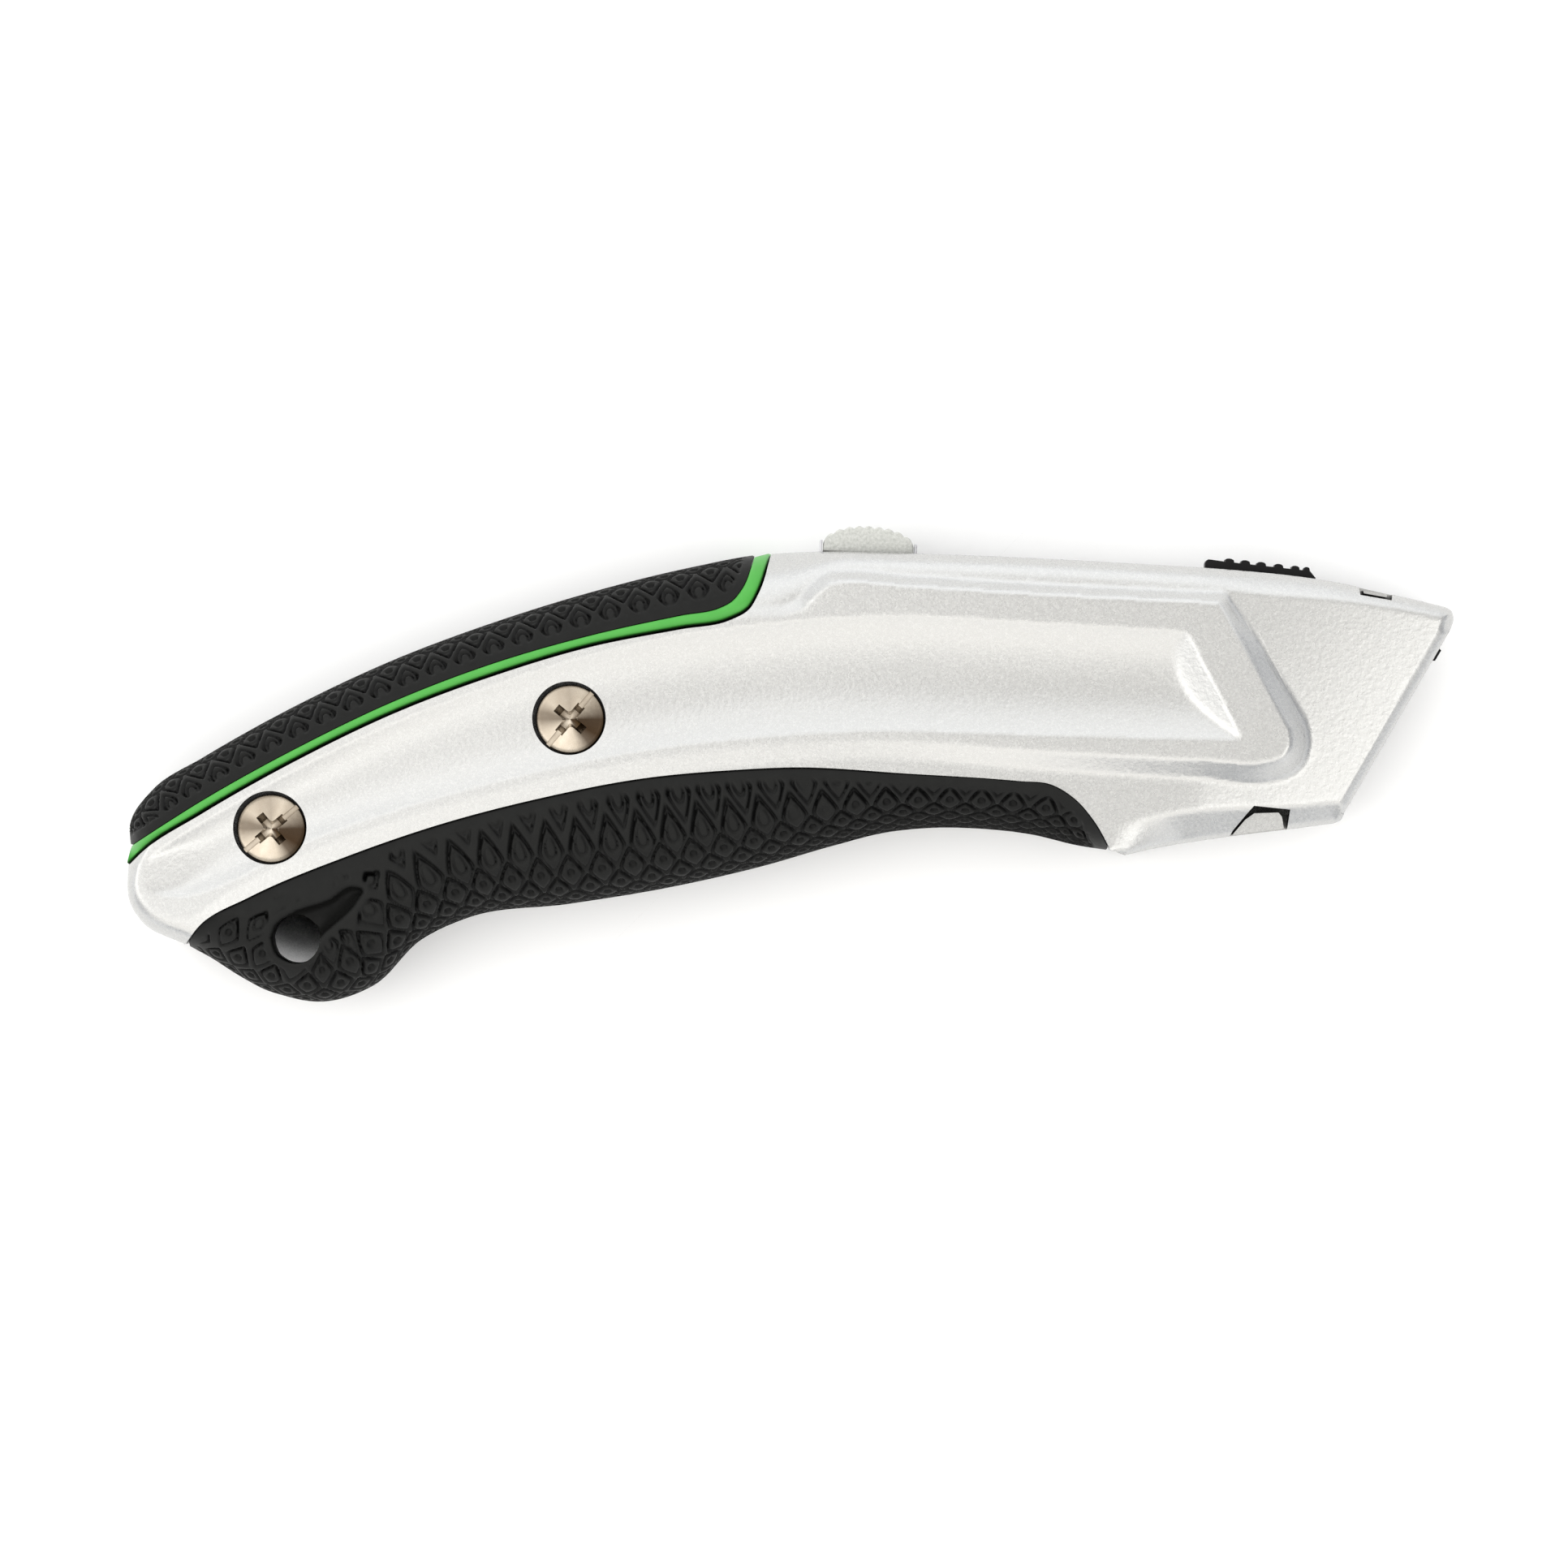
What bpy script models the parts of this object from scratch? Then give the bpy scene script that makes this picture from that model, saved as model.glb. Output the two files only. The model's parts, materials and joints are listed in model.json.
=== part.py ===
"""Retractable utility knife, lying on its left side: +X towards the nose, +Y towards the spine, +Z up.

Plan outlines are in millimetres, centred on the knife. Each half of the handle is a height over the
parting plane, z = 0, and every object hangs from an empty that lifts that plane to the half width.
"""

import math

import bmesh
import bpy
import numpy as np
from mathutils import Vector
from mathutils.geometry import delaunay_2d_cdt

MM = 0.001

# Driving dimensions, mm.
HALF_WIDTH = 11.0
HALF_GAP = 0.15  # each piece stands back this far from a shared edge
RUBBER = 2.3  # thickness of the grips over the cast core
CORE_GAP = 0.3
CORE_REACH = (-82.0, 38.0)  # the core's ends, which run into the metal of the tail and the nose
CAVITY = 6.6  # half depth of the hollows in the handle
TILT = math.radians(2.76)  # the blade's track runs down towards the nose by this much

BLADE_LENGTH = 61.0
BLADE_HEIGHT = 19.0
BLADE_BACK = 34.0
BLADE_HALF = 0.3
BLADE_GRIND = 1.8
BLADE_U = 11.6  # the blade's rear corner and cutting edge, in track coordinates
BLADE_W = -1.6

SCREWS = ((-29.3, 6.04), (-68.7, -8.4))
HEAD_R = 4.3
BORE_R = 4.9
SHANK_R = 2.2
SEAT_Z = 6.2
SCREW_TURNS = (50.0, 40.0)  # how far each head stops round, in degrees

LANYARD = (-65.3, -23.1)
LANYARD_R = 3.2
PIN = (51.9, 22.6)
PIN_R = 1.0

KNOB_U = (4.4, 15.9)
KNOB_TOP = 31.9
SLOT_U = (3.2, 42.2)
SLOT_HALF = 4.3
BUTTON_X = (54.65, 69.25)
BUTTON_HALF = 3.9

CAD_STEP = 6.0  # spacing of the points on open surfaces
CAD_FIT = 0.09  # how far a chord may cut a curve

# Plan outlines, as points on smooth curves.
SPINE = [
    (-87.3, -10.9), (-87.45, -7.9), (-84.3, -3.2), (-77.8, 0.9), (-65.0, 8.0), (-52.1, 14.0),
    (-39.2, 18.8), (-26.3, 22.8), (-13.4, 26.0), (-3.8, 27.75), (2.7, 28.08), (18.8, 27.75),
    (47.8, 26.36), (58.0, 25.7), (70.3, 24.32), (80.0, 22.28), (86.2, 20.82),
]
NOSE_CORNER = [(86.2, 20.82), (87.15, 20.3), (87.5, 19.3), (87.15, 17.9)]
FRONT = [(87.15, 17.9), (73.0, -6.5)]
HEEL_CORNER = [(73.0, -6.5), (72.6, -7.4), (71.6, -7.9)]
NOSE_BOTTOM = [(71.6, -7.9), (67.1, -8.5), (54.2, -10.15), (47.8, -11.2), (44.0, -12.08)]
GRIP_TIP = [(44.0, -12.08), (42.1, -11.4)]
BELLY = [
    (42.1, -11.4), (38.1, -10.8), (31.7, -9.3), (25.0, -8.55), (18.8, -8.43), (12.4, -9.07),
    (5.9, -10.7), (-3.8, -13.5), (-16.6, -16.4), (-29.5, -18.5), (-42.4, -20.2), (-48.9, -23.2),
    (-55.3, -29.3), (-61.7, -31.4), (-68.2, -30.3), (-77.8, -25.0), (-79.9, -23.85),
]
TAIL = [(-79.9, -23.85), (-85.6, -20.9), (-87.1, -18.6), (-87.45, -13.4), (-87.3, -10.9)]

GRIP_EDGE = [
    (-79.9, -23.85), (-77.8, -21.2), (-71.4, -17.6), (-58.5, -12.2), (-45.6, -7.8), (-32.8, -4.5),
    (-19.9, -2.0), (-7.0, -0.81), (0.0, -0.5), (15.6, -1.34), (30.0, -2.3), (34.2, -2.75),
    (37.4, -4.7), (39.9, -7.6), (42.1, -11.4),
]
TRIM_TOP = [
    (-87.3, -10.9), (-84.3, -9.0), (-77.8, -4.9), (-65.0, 2.2), (-52.1, 8.4), (-39.2, 13.3),
    (-26.3, 17.0), (-14.5, 19.6), (-9.4, 20.6), (-7.9, 21.4), (-6.7, 23.0), (-5.3, 27.5),
]
TRIM_BOTTOM = [
    (-87.45, -13.4), (-85.6, -11.6), (-77.8, -6.6), (-65.0, 0.6), (-52.1, 6.8), (-39.2, 11.65),
    (-26.3, 15.5), (-14.5, 17.8), (-8.2, 18.95), (-5.6, 20.4), (-4.4, 22.4), (-2.6, 27.9),
]

# The raised panel on each side and the scoop in it.
PANEL_UPPER = [
    (-84.3, -10.3), (-77.8, -6.2), (-65.0, 1.0), (-52.1, 7.2), (-39.2, 12.0), (-26.3, 15.9),
    (-14.5, 18.2), (-6.0, 19.2), (0.0, 19.75), (1.6, 20.5), (3.6, 22.6), (5.2, 23.7), (7.5, 23.95),
    (14.0, 23.5), (32.75, 22.35), (56.4, 21.2),
]
PANEL_LOWER = [
    (65.5, 4.5), (65.7, 2.6), (64.9, 1.0), (63.0, 0.35), (54.2, 0.6), (32.75, 1.8), (11.3, 3.2),
    (-7.0, 2.2), (-23.6, 0.0), (-37.0, -3.0), (-50.5, -6.8), (-64.0, -11.6), (-74.0, -16.6),
    (-80.0, -20.1), (-85.1, -18.2), (-86.2, -16.2), (-86.1, -13.6), (-84.3, -10.3),
]
SCOOP_UPPER = [
    (-85.4, -12.6), (-77.8, -7.8), (-65.0, -0.6), (-52.1, 5.6), (-39.2, 10.5), (-26.3, 14.5),
    (-14.5, 17.1), (-4.8, 18.4), (3.2, 19.2), (14.0, 19.6), (32.75, 18.7), (52.1, 17.6), (60.0, 17.2),
]
SCOOP_LOWER = [
    (-85.4, -16.9), (-80.2, -17.6), (-76.0, -16.4), (-64.0, -10.4), (-50.5, -5.7), (-37.0, -2.0),
    (-23.6, 1.0), (-4.8, 3.4), (8.6, 4.3), (32.75, 3.4), (60.0, 2.4),
]
SCOOP_END = ((52.1, 17.6), (58.8, 5.3))

TEARDROP = [
    (-68.6, -22.9), (-67.9, -21.1), (-66.1, -19.8), (-61.0, -18.0), (-57.6, -16.2), (-56.5, -16.6),
    (-57.2, -18.0), (-61.9, -22.6), (-65.3, -26.2), (-67.8, -25.2),
]
HEEL_NOTCH = [
    (57.4, -10.2), (58.3, -8.7), (60.2, -6.4), (61.0, -5.5), (65.8, -6.0), (65.3, -9.5),
]
HEEL_LUG = [(58.9, -9.3), (61.9, -6.7), (64.2, -6.5), (64.9, -7.3), (64.9, -8.5)]
TOP_NOTCH = [(74.7, 24.5), (75.05, 22.3), (79.2, 21.6), (79.5, 23.5)]
TOP_LUG = [(75.5, 22.9), (75.6, 22.55), (78.6, 22.0), (78.7, 22.4)]


# Curves and plan geometry.


def ramp(value, low, high):
    """0 below low, 1 above high, smooth between."""
    t = np.clip((value - low) / (high - low), 0.0, 1.0)
    return t * t * (3.0 - 2.0 * t)


def smooth_path(points, step=1.0):
    """A smooth curve through the points, as points about one step apart."""
    knots = np.array(points, float)
    along = np.concatenate([[0.0], np.cumsum(np.hypot(*np.diff(knots, axis=0).T))])
    slopes = np.gradient(knots, along, axis=0)
    at = np.linspace(0.0, along[-1], max(2, math.ceil(along[-1] / step) + 1))
    i = np.clip(np.searchsorted(along, at, side="right") - 1, 0, len(knots) - 2)
    width = (along[i + 1] - along[i])[:, None]
    t = (at - along[i])[:, None] / width
    value = (1 + 2 * t) * (1 - t) ** 2 * knots[i] + t * t * (3 - 2 * t) * knots[i + 1]
    return value + width * (t * (1 - t) ** 2 * slopes[i] + t * t * (t - 1) * slopes[i + 1])


def joined(*paths):
    """Paths end to end as one, without the points that repeat."""
    points = np.concatenate([np.asarray(path, float) for path in paths])
    far = np.hypot(*(points - np.roll(points, 1, axis=0)).T) > 1e-4
    return points[far]


def segment_distances(points, line, closed=False):
    """Each point's distance to the line."""
    line = np.asarray(line, float)
    ends = np.roll(line, -1, axis=0) if closed else line[1:]
    starts = line if closed else line[:-1]
    span = ends - starts
    length = np.maximum((span**2).sum(axis=1), 1e-12)
    best = np.full(len(points), np.inf)
    for a, d, square in zip(starts, span, length, strict=True):
        t = np.clip(((points - a) @ d) / square, 0.0, 1.0)
        best = np.minimum(best, np.hypot(*(points - a - t[:, None] * d).T))
    return best


def inside(points, polygon):
    """Which points lie inside the closed polygon."""
    found = np.zeros(len(points), bool)
    x, y = points.T
    for (x0, y0), (x1, y1) in zip(polygon, np.roll(polygon, -1, axis=0), strict=True):
        if y0 == y1:
            continue
        crosses = (y0 > y) != (y1 > y)
        found ^= crosses & (x < (x1 - x0) * (y - y0) / (y1 - y0) + x0)
    return found


def thinned(path, fit, closed=False):
    """The path with only the points it needs to stay within fit of itself."""
    path = np.asarray(path, float)
    if closed:
        half = len(path) // 2
        first = thinned(path[: half + 1], fit)
        second = thinned(np.vstack([path[half:], path[:1]]), fit)
        return np.vstack([first[:-1], second[:-1]])
    if len(path) < 3:
        return path
    away = segment_distances(path, path[[0, -1]])
    worst = int(away.argmax())
    if away[worst] <= fit:
        return path[[0, -1]]
    return np.vstack([thinned(path[: worst + 1], fit)[:-1], thinned(path[worst:], fit)])


def inset(polygon, distance):
    """The closed polygon pulled in by the distance, on whichever side its inside is."""
    polygon = np.asarray(polygon, float)
    tangent = np.roll(polygon, -1, axis=0) - np.roll(polygon, 1, axis=0)
    normal = np.stack([-tangent[:, 1], tangent[:, 0]], axis=1)
    normal /= np.maximum(np.hypot(*normal.T), 1e-9)[:, None]
    x, y = polygon.T
    area = (x * np.roll(y, -1) - y * np.roll(x, -1)).sum() / 2
    moved = polygon + normal * distance * math.copysign(1.0, area)
    clear = segment_distances(moved, polygon, closed=True) > distance * 0.97
    return moved[clear & inside(moved, polygon)]


def track(points):
    """Track coordinates, along and up from the blade's line of travel, as plan points."""
    c, s = math.cos(TILT), math.sin(TILT)
    return [(u * c + w * s, w * c - u * s) for u, w in points]


def track_box(u0, u1, w0, w1):
    return track([(u0, w0), (u1, w0), (u1, w1), (u0, w1)])


def circle(centre, radius, count=32):
    turns = [2 * math.pi * i / count for i in range(count)]
    return [(centre[0] + radius * math.cos(a), centre[1] + radius * math.sin(a)) for a in turns]


TOP_EDGE = joined(smooth_path(SPINE), smooth_path(NOSE_CORNER, 0.5))
BOTTOM_EDGE = joined(smooth_path(HEEL_CORNER, 0.5), smooth_path(NOSE_BOTTOM), GRIP_TIP)
BELLY_EDGE = smooth_path(BELLY)
TAIL_EDGE = smooth_path(TAIL)
OUTLINE = joined(TOP_EDGE, FRONT, BOTTOM_EDGE, BELLY_EDGE, TAIL_EDGE)
EDGE_OF_GRIP = smooth_path(GRIP_EDGE)
TRIM_UP = smooth_path(TRIM_TOP)
TRIM_DOWN = smooth_path(TRIM_BOTTOM)


def spine_between(x0, x1):
    """The stretch of the top edge from one X to another, both past the tail's turn."""
    return TOP_EDGE[(TOP_EDGE[:, 0] > x0) & (TOP_EDGE[:, 0] < x1)]


TAIL_TURN = smooth_path(SPINE)[:12]
METAL = joined(
    TRIM_DOWN, spine_between(-2.4, 90.0), FRONT, BOTTOM_EDGE, EDGE_OF_GRIP[::-1], TAIL_EDGE[:-3]
)
UPPER_ZONE = joined(TOP_EDGE[TOP_EDGE[:, 0] < -5.4], TRIM_UP[::-1])
TRIM_ZONE = joined(TRIM_UP, spine_between(-5.2, -2.7), TRIM_DOWN[::-1])
LOWER_ZONE = joined(EDGE_OF_GRIP, BELLY_EDGE)
PANEL = joined(smooth_path(PANEL_UPPER), smooth_path(PANEL_LOWER))


# Heights over the parting plane.


def rounding(distance, reach, fall):
    """How far a surface has fallen at this distance from its edge: a quarter ellipse."""
    t = 1.0 - np.clip(distance / reach, 0.0, 1.0)
    return fall * (1.0 - np.sqrt(np.maximum(1.0 - t * t, 0.0)))


def top_fall(points):
    """Broad over the grip at the spine, tight along the metal top, tighter at the nose."""
    x = points[:, 0]
    forward = ramp(x, -3.0, 8.0)
    reach = 7.5 + (3.3 - 7.5) * forward - 1.1 * ramp(x, 60.0, 86.0)
    fall = 9.4 + (3.6 - 9.4) * forward
    return rounding(segment_distances(points, TOP_EDGE), reach, fall)


def scoop_depth(points):
    """A trough between two curves, ended by a slanted facet towards the nose."""
    x, y = points.T
    upper, lower = (smooth_path(c) for c in (SCOOP_UPPER, SCOOP_LOWER))
    high = np.interp(x, upper[:, 0], upper[:, 1])
    low = np.interp(x, lower[:, 0], lower[:, 1])
    across = np.clip((y - low) / (high - low), 0.0, 1.0)
    depth = 1.1 + 0.6 * ramp(x, -40.0, 0.0)
    (x0, y0), (x1, y1) = SCOOP_END
    length = math.hypot(x1 - x0, y1 - y0)
    before_end = ((x - x0) * (y1 - y0) - (y - y0) * (x1 - x0)) / length
    trough = 4.0 * depth * across * (1.0 - across)
    ends = np.minimum(0.4 * before_end, 0.5 * (x + 85.4))
    return np.maximum(np.minimum(trough, ends), 0.0)


def metal_height(points):
    x, y = points.T
    base = 9.3 + 1.2 * (1.0 - ramp(x, -3.0, 8.0)) * ramp(y, 10.0, 20.0)
    base = base - 0.083 * np.maximum(x - 54.0, 0.0)
    base -= top_fall(points)
    base -= rounding(segment_distances(points, FRONT), 1.0, 1.2)
    reach = 4.6 - 2.2 * ramp(x, 48.0, 72.0)
    base -= rounding(segment_distances(points, BOTTOM_EDGE), reach, 3.2)
    base -= rounding(segment_distances(points, TAIL_EDGE), 2.4, 3.5)
    away = segment_distances(points, PANEL, closed=True)
    away = np.where(inside(points, PANEL), 0.0, away)
    bevel = 2.4 - 0.9 * ramp(y, 14.0, 22.0)
    raised = np.clip(1.0 - away / bevel, 0.0, 1.0)
    return base + (HALF_WIDTH - base) * raised - scoop_depth(points)


def upper_height(points):
    ends = rounding(segment_distances(points, TAIL_TURN), 5.0, 4.0)
    return 10.7 - np.maximum(top_fall(points), ends)


def lower_height(points):
    return HALF_WIDTH - rounding(segment_distances(points, BELLY_EDGE), 9.5, 9.8)


def core_height(points):
    """The cast core under the grips and the trim."""
    surface = np.minimum(upper_height(points), lower_height(points))
    return np.clip(surface - RUBBER - 0.3, 1.0, 7.8)


def trim_height(points):
    return upper_height(points) + 0.1


def trim_floor(points):
    """Clear of the core, and never closer than 1 mm to the trim's own top."""
    floor = np.minimum(core_height(points) + 0.8, trim_height(points) - 1.0)
    return np.maximum(floor, HALF_GAP)


# Meshes.


def clear_runs(line, boundary, margin):
    """The stretches of a line that lie inside the boundary and clear of it."""
    line = np.asarray(line, float)
    good = inside(line, boundary)
    good &= segment_distances(line, boundary, closed=True) > margin
    runs, run = [], []
    for point, keep in zip(line, good, strict=True):
        if keep:
            run.append(point)
            continue
        runs.append(run)
        run = []
    runs.append(run)
    return [r for r in runs if len(r) > 1]


def triangulated(boundary, lines, step):
    """Plan points and triangles over the closed boundary, with edges along the lines."""
    points = [tuple(p) for p in boundary]
    edges = [(i, (i + 1) % len(points)) for i in range(len(points))]
    for line in lines:
        for run in clear_runs(line, boundary, 0.25 * step):
            first = len(points)
            points += [tuple(p) for p in run]
            edges += [(first + i, first + i + 1) for i in range(len(run) - 1)]
    low, high = np.min(boundary, axis=0), np.max(boundary, axis=0)
    rows = np.arange(low[1], high[1], step * 0.87)
    grid = [
        (x, y)
        for k, y in enumerate(rows)
        for x in np.arange(low[0] + step * (k % 2) / 2, high[0], step)
    ]
    grid = np.array(grid)
    grid = grid[inside(grid, boundary)]
    far = segment_distances(grid, boundary, closed=True) > 0.5 * step
    for line in lines:
        far &= segment_distances(grid, line) > 0.45 * step
    points += [tuple(p) for p in grid[far]]
    made = delaunay_2d_cdt([Vector(p) for p in points], edges, [], 1, 1e-5)
    return np.array([tuple(v) for v in made[0]]), [tuple(f) for f in made[2]]


def rim_of(faces):
    """The boundary of a set of triangles, as one loop of vertex numbers."""
    after = {}
    known = {(f[i], f[(i + 1) % 3]) for f in faces for i in range(3)}
    for a, b in known:
        if (b, a) not in known:
            after[a] = b
    start = next(iter(after))
    loop = [start]
    while after[loop[-1]] != start:
        loop.append(after[loop[-1]])
    return loop


def new_object(name, points, faces, material=None, cutter=False):
    """A mesh object from points in millimetres, hung from the parting plane's empty."""
    mesh = bpy.data.meshes.new(name)
    mesh.from_pydata([tuple(c * MM for c in p) for p in points], [], faces)
    build = bmesh.new()
    build.from_mesh(mesh)
    bmesh.ops.recalc_face_normals(build, faces=build.faces)
    if build.calc_volume(signed=True) < 0:
        bmesh.ops.reverse_faces(build, faces=build.faces)
    build.to_mesh(mesh)
    build.free()
    obj = bpy.data.objects.new(name, mesh)
    bpy.context.collection.objects.link(obj)
    obj.parent = PLANE
    if cutter:
        obj.hide_render = True
        obj.display_type = "WIRE"
    if material is not None:
        mesh.materials.append(material)
    return obj


def swollen(plan, rim, distance):
    """The plan points with those of the rim moved out by the distance."""
    loop = plan[rim]
    tangent = np.roll(loop, -1, axis=0) - np.roll(loop, 1, axis=0)
    outward = np.stack([tangent[:, 1], -tangent[:, 0]], axis=1)
    outward /= np.hypot(*outward.T)[:, None]
    x, y = loop.T
    area = (x * np.roll(y, -1) - y * np.roll(x, -1)).sum()
    grown = plan.copy()
    grown[rim] += outward * math.copysign(distance, area)
    return grown


def height_solid(name, boundary, side, top, bottom, lines=(), swell=0.0, **more):
    """A solid over a plan outline from one height to another, on one side of the parting plane.

    A swell lifts the whole top and moves the rim out by as much.
    """
    boundary = thinned(boundary, CAD_FIT, closed=True)
    lines = [thinned(line, CAD_FIT) for line in lines]
    plan, faces = triangulated(boundary, lines, CAD_STEP)
    heights = side * (top(plan) + swell)
    rim = rim_of(faces)
    if swell:
        plan = swollen(plan, rim, swell)
    upper = [(x, y, z) for (x, y), z in zip(plan, heights, strict=True)]
    count = len(upper)
    if callable(bottom):
        lower = [(x, y, side * z) for (x, y), z in zip(plan, bottom(plan), strict=True)]
        under = {i: count + i for i in range(count)}
        floor = [tuple(count + i for i in reversed(f)) for f in faces]
    else:
        lower = [(*plan[i], side * bottom) for i in rim]
        under = {i: count + k for k, i in enumerate(rim)}
        floor = [tuple(under[i] for i in reversed(rim))]
    walls = [
        (a, under[a], under[b], b) for a, b in zip(rim, rim[1:] + rim[:1], strict=True)
    ]
    return new_object(name, upper + lower, faces + floor + walls, **more)


def prism(name, outline, z0, z1, **more):
    """A straight solid over a plan outline."""
    count = len(outline)
    points = [(x, y, z) for z in (z0, z1) for x, y in outline]
    ring = range(count)
    faces = [tuple(ring), tuple(i + count for i in reversed(ring))]
    faces += [(i, (i + 1) % count, (i + 1) % count + count, i + count) for i in ring]
    return new_object(name, points, faces, **more)


def cutter(name, outline, z0, z1):
    return prism(f"cut_{name}", outline, z0, z1, cutter=True)


def boolean(obj, operation, *others):
    for other in others:
        step = obj.modifiers.new(other.name, "BOOLEAN")
        step.operation = operation
        step.solver = "EXACT"
        step.object = other
    return obj


def minus(obj, *others):
    return boolean(obj, "DIFFERENCE", *others)


def plus(obj, *others):
    return boolean(obj, "UNION", *others)


def material(name, color, roughness, metallic=0.0):
    made = bpy.data.materials.new(name)
    made.use_nodes = True
    shader = made.node_tree.nodes["Principled BSDF"]
    shader.inputs["Base Color"].default_value = (*color, 1.0)
    shader.inputs["Roughness"].default_value = roughness
    shader.inputs["Metallic"].default_value = metallic
    made.diffuse_color = (*color, 1.0)
    return made


# Handle.


def rounding_lines():
    """Lines along the rounded edges, so that a coarse surface still follows them."""
    lines = []
    for share in (0.3, 1.0):
        shell = inset(OUTLINE, 2.9 * share)
        lines.append(shell[shell[:, 0] > -2.0])
    return lines


def panel_lines():
    upper, lower = (smooth_path(c) for c in (SCOOP_UPPER, SCOOP_LOWER))
    high, low = upper[upper[:, 0] < 51.5], lower[lower[:, 0] < 58.6]
    middle = [((a[0] + b[0]) / 2, (a[1] + b[1]) / 2) for a, b in zip(high, low, strict=False)]
    facet = [(52.1, 17.6), (50.0, 14.2), (50.2, 12.0), (52.6, 8.6), (58.8, 5.3)]
    outer = [(3.2, 24.2), (6.4, 25.4), (32.75, 23.9), (57.6, 22.6), (68.2, 4.2), (68.4, 1.6)]
    outer += [(66.8, -1.2), (63.0, -2.1), (54.2, -1.8), (32.75, -0.7), (11.3, 0.8)]
    return [PANEL, high, low, middle[::3], list(SCOOP_END), facet, outer]


def core_solid(name, side, swell=0.0):
    """A cutter in the shape of the cast core that the grips wrap, or that shape swollen."""
    outline = inset(OUTLINE, RUBBER)
    rear, front = CORE_REACH
    outline = outline[(outline[:, 0] > rear) & (outline[:, 0] < front)]
    name = f"cut_{name}"
    return height_solid(name, outline, side, core_height, -2.0, swell=swell, cutter=True)


def shell(name, side, metal):
    """One cast half of the handle, with everything that both halves have."""
    outline = inset(METAL, HALF_GAP)
    lines = rounding_lines() + panel_lines()
    half = height_solid(name, outline, side, metal_height, -2.0, lines, material=metal)
    plus(half, core_solid(f"{name}_core", side))
    slab = [(-95.0, -40.0), (95.0, -40.0), (95.0, 40.0), (-95.0, 40.0)]
    minus(half, cutter(f"{name}_parting", slab, -3.0 * side, HALF_GAP * side))
    return minus(half, *shell_hollows(name, side))


def shell_hollows(name, side):
    """The cutters for the hollows, slots and holes that both halves share."""
    deep = {
        "carriage": (
            track([(-24.4, -0.6), (47.5, -0.6), (47.5, 25.1), (3.0, 25.1), (-9.3, 21.5)]),
            CAVITY,
        ),
        "rear": (
            [(-34.5, -1.5), (-34.5, 15.0), (-48.0, 10.5), (-61.5, 4.0), (-62.9, -9.6), (-50.0, -5.5)],
            CAVITY,
        ),
        "blade_way": (track_box(10.9, 100.0, -2.2, 17.6), 0.65),
        "guide_seat": (track_box(61.7, 100.0, 17.45, 19.9), 1.8),
        "knob_slot": (track_box(*SLOT_U, 24.0, 31.0), SLOT_HALF),
        "button_well": (
            [(49.5, 20.2), (49.5, 24.85), (54.3, 24.85), (54.3, 29.0), (69.6, 29.0), (69.6, 20.2)],
            BUTTON_HALF + 0.4,
        ),
        "pin_hole": (circle(PIN, PIN_R + 0.3, 20), 5.8),
    }
    return [cutter(f"{name}_{key}", line, -side, side * z) for key, (line, z) in deep.items()]


def teardrop_void(name, side, grow, z0, z1):
    line = thinned(smooth_path(TEARDROP + TEARDROP[:1], 0.5)[:-1], 0.05, closed=True)
    centre = line.mean(axis=0)
    size = np.hypot(*(line - centre).T)[:, None]
    return cutter(name, line + (line - centre) / size * grow, side * z0, side * z1)


def make_shells(metal):
    right = shell("right_body_shell", 1, metal)
    left = shell("left_body_shell", -1, metal)
    for i, centre in enumerate(SCREWS):
        minus(right, cutter(f"counterbore_{i}", circle(centre, BORE_R), SEAT_Z, 14.0))
        minus(right, cutter(f"clearance_{i}", circle(centre, SHANK_R + 0.3, 20), -1.0, 14.0))
        minus(left, cutter(f"thread_{i}", circle(centre, SHANK_R + 0.3, 20), -7.5, 1.0))
    for half, side in ((right, 1), (left, -1)):
        minus(half, teardrop_void(f"{half.name}_lanyard", side, 1.2, -1.0, 14.0))
    minus(right, cutter("heel_notch", HEEL_NOTCH, -1.0, 14.0))
    minus(right, cutter("top_notch", TOP_NOTCH, -1.0, 14.0))
    plus(left, cutter("heel_lug", HEEL_LUG, -3.0, 4.0))
    plus(left, cutter("top_lug", TOP_LUG, -3.0, 4.0))
    minus(left, cutter("arm_way", track_box(46.9, 66.5, 2.4, 17.55), -3.6, 1.0))


def core_cutter(name, side):
    """The core's own shape with the gap round it, less the stretch around the lanyard hole."""
    return minus(core_solid(name, side, CORE_GAP), teardrop_void(f"{name}_hole", side, 0.9, -4.0, 15.0))


def make_grips(rubber, trim):
    for word, side in (("right", 1), ("left", -1)):
        core = core_cutter(f"{word}_core", side)
        shapes = (("lower_grip", LOWER_ZONE, lower_height), ("upper_grip", UPPER_ZONE, upper_height))
        for kind, zone, height in shapes:
            name = f"{word}_{kind}"
            rings = [inset(zone, 0.7), inset(zone, 2.4)]
            grip = height_solid(
                name, inset(zone, HALF_GAP), side, height, HALF_GAP, rings, material=rubber
            )
            minus(grip, core)
            if kind == "lower_grip":
                hole = cutter(f"{name}_hole", circle(LANYARD, LANYARD_R), -12.0, 12.0)
                minus(grip, hole, teardrop_void(f"{name}_recess", side, 0.0, 6.5, 14.0))
        strip = inset(TRIM_ZONE, HALF_GAP)
        height_solid(f"{word}_trim", strip, side, trim_height, trim_floor, material=trim)


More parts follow.
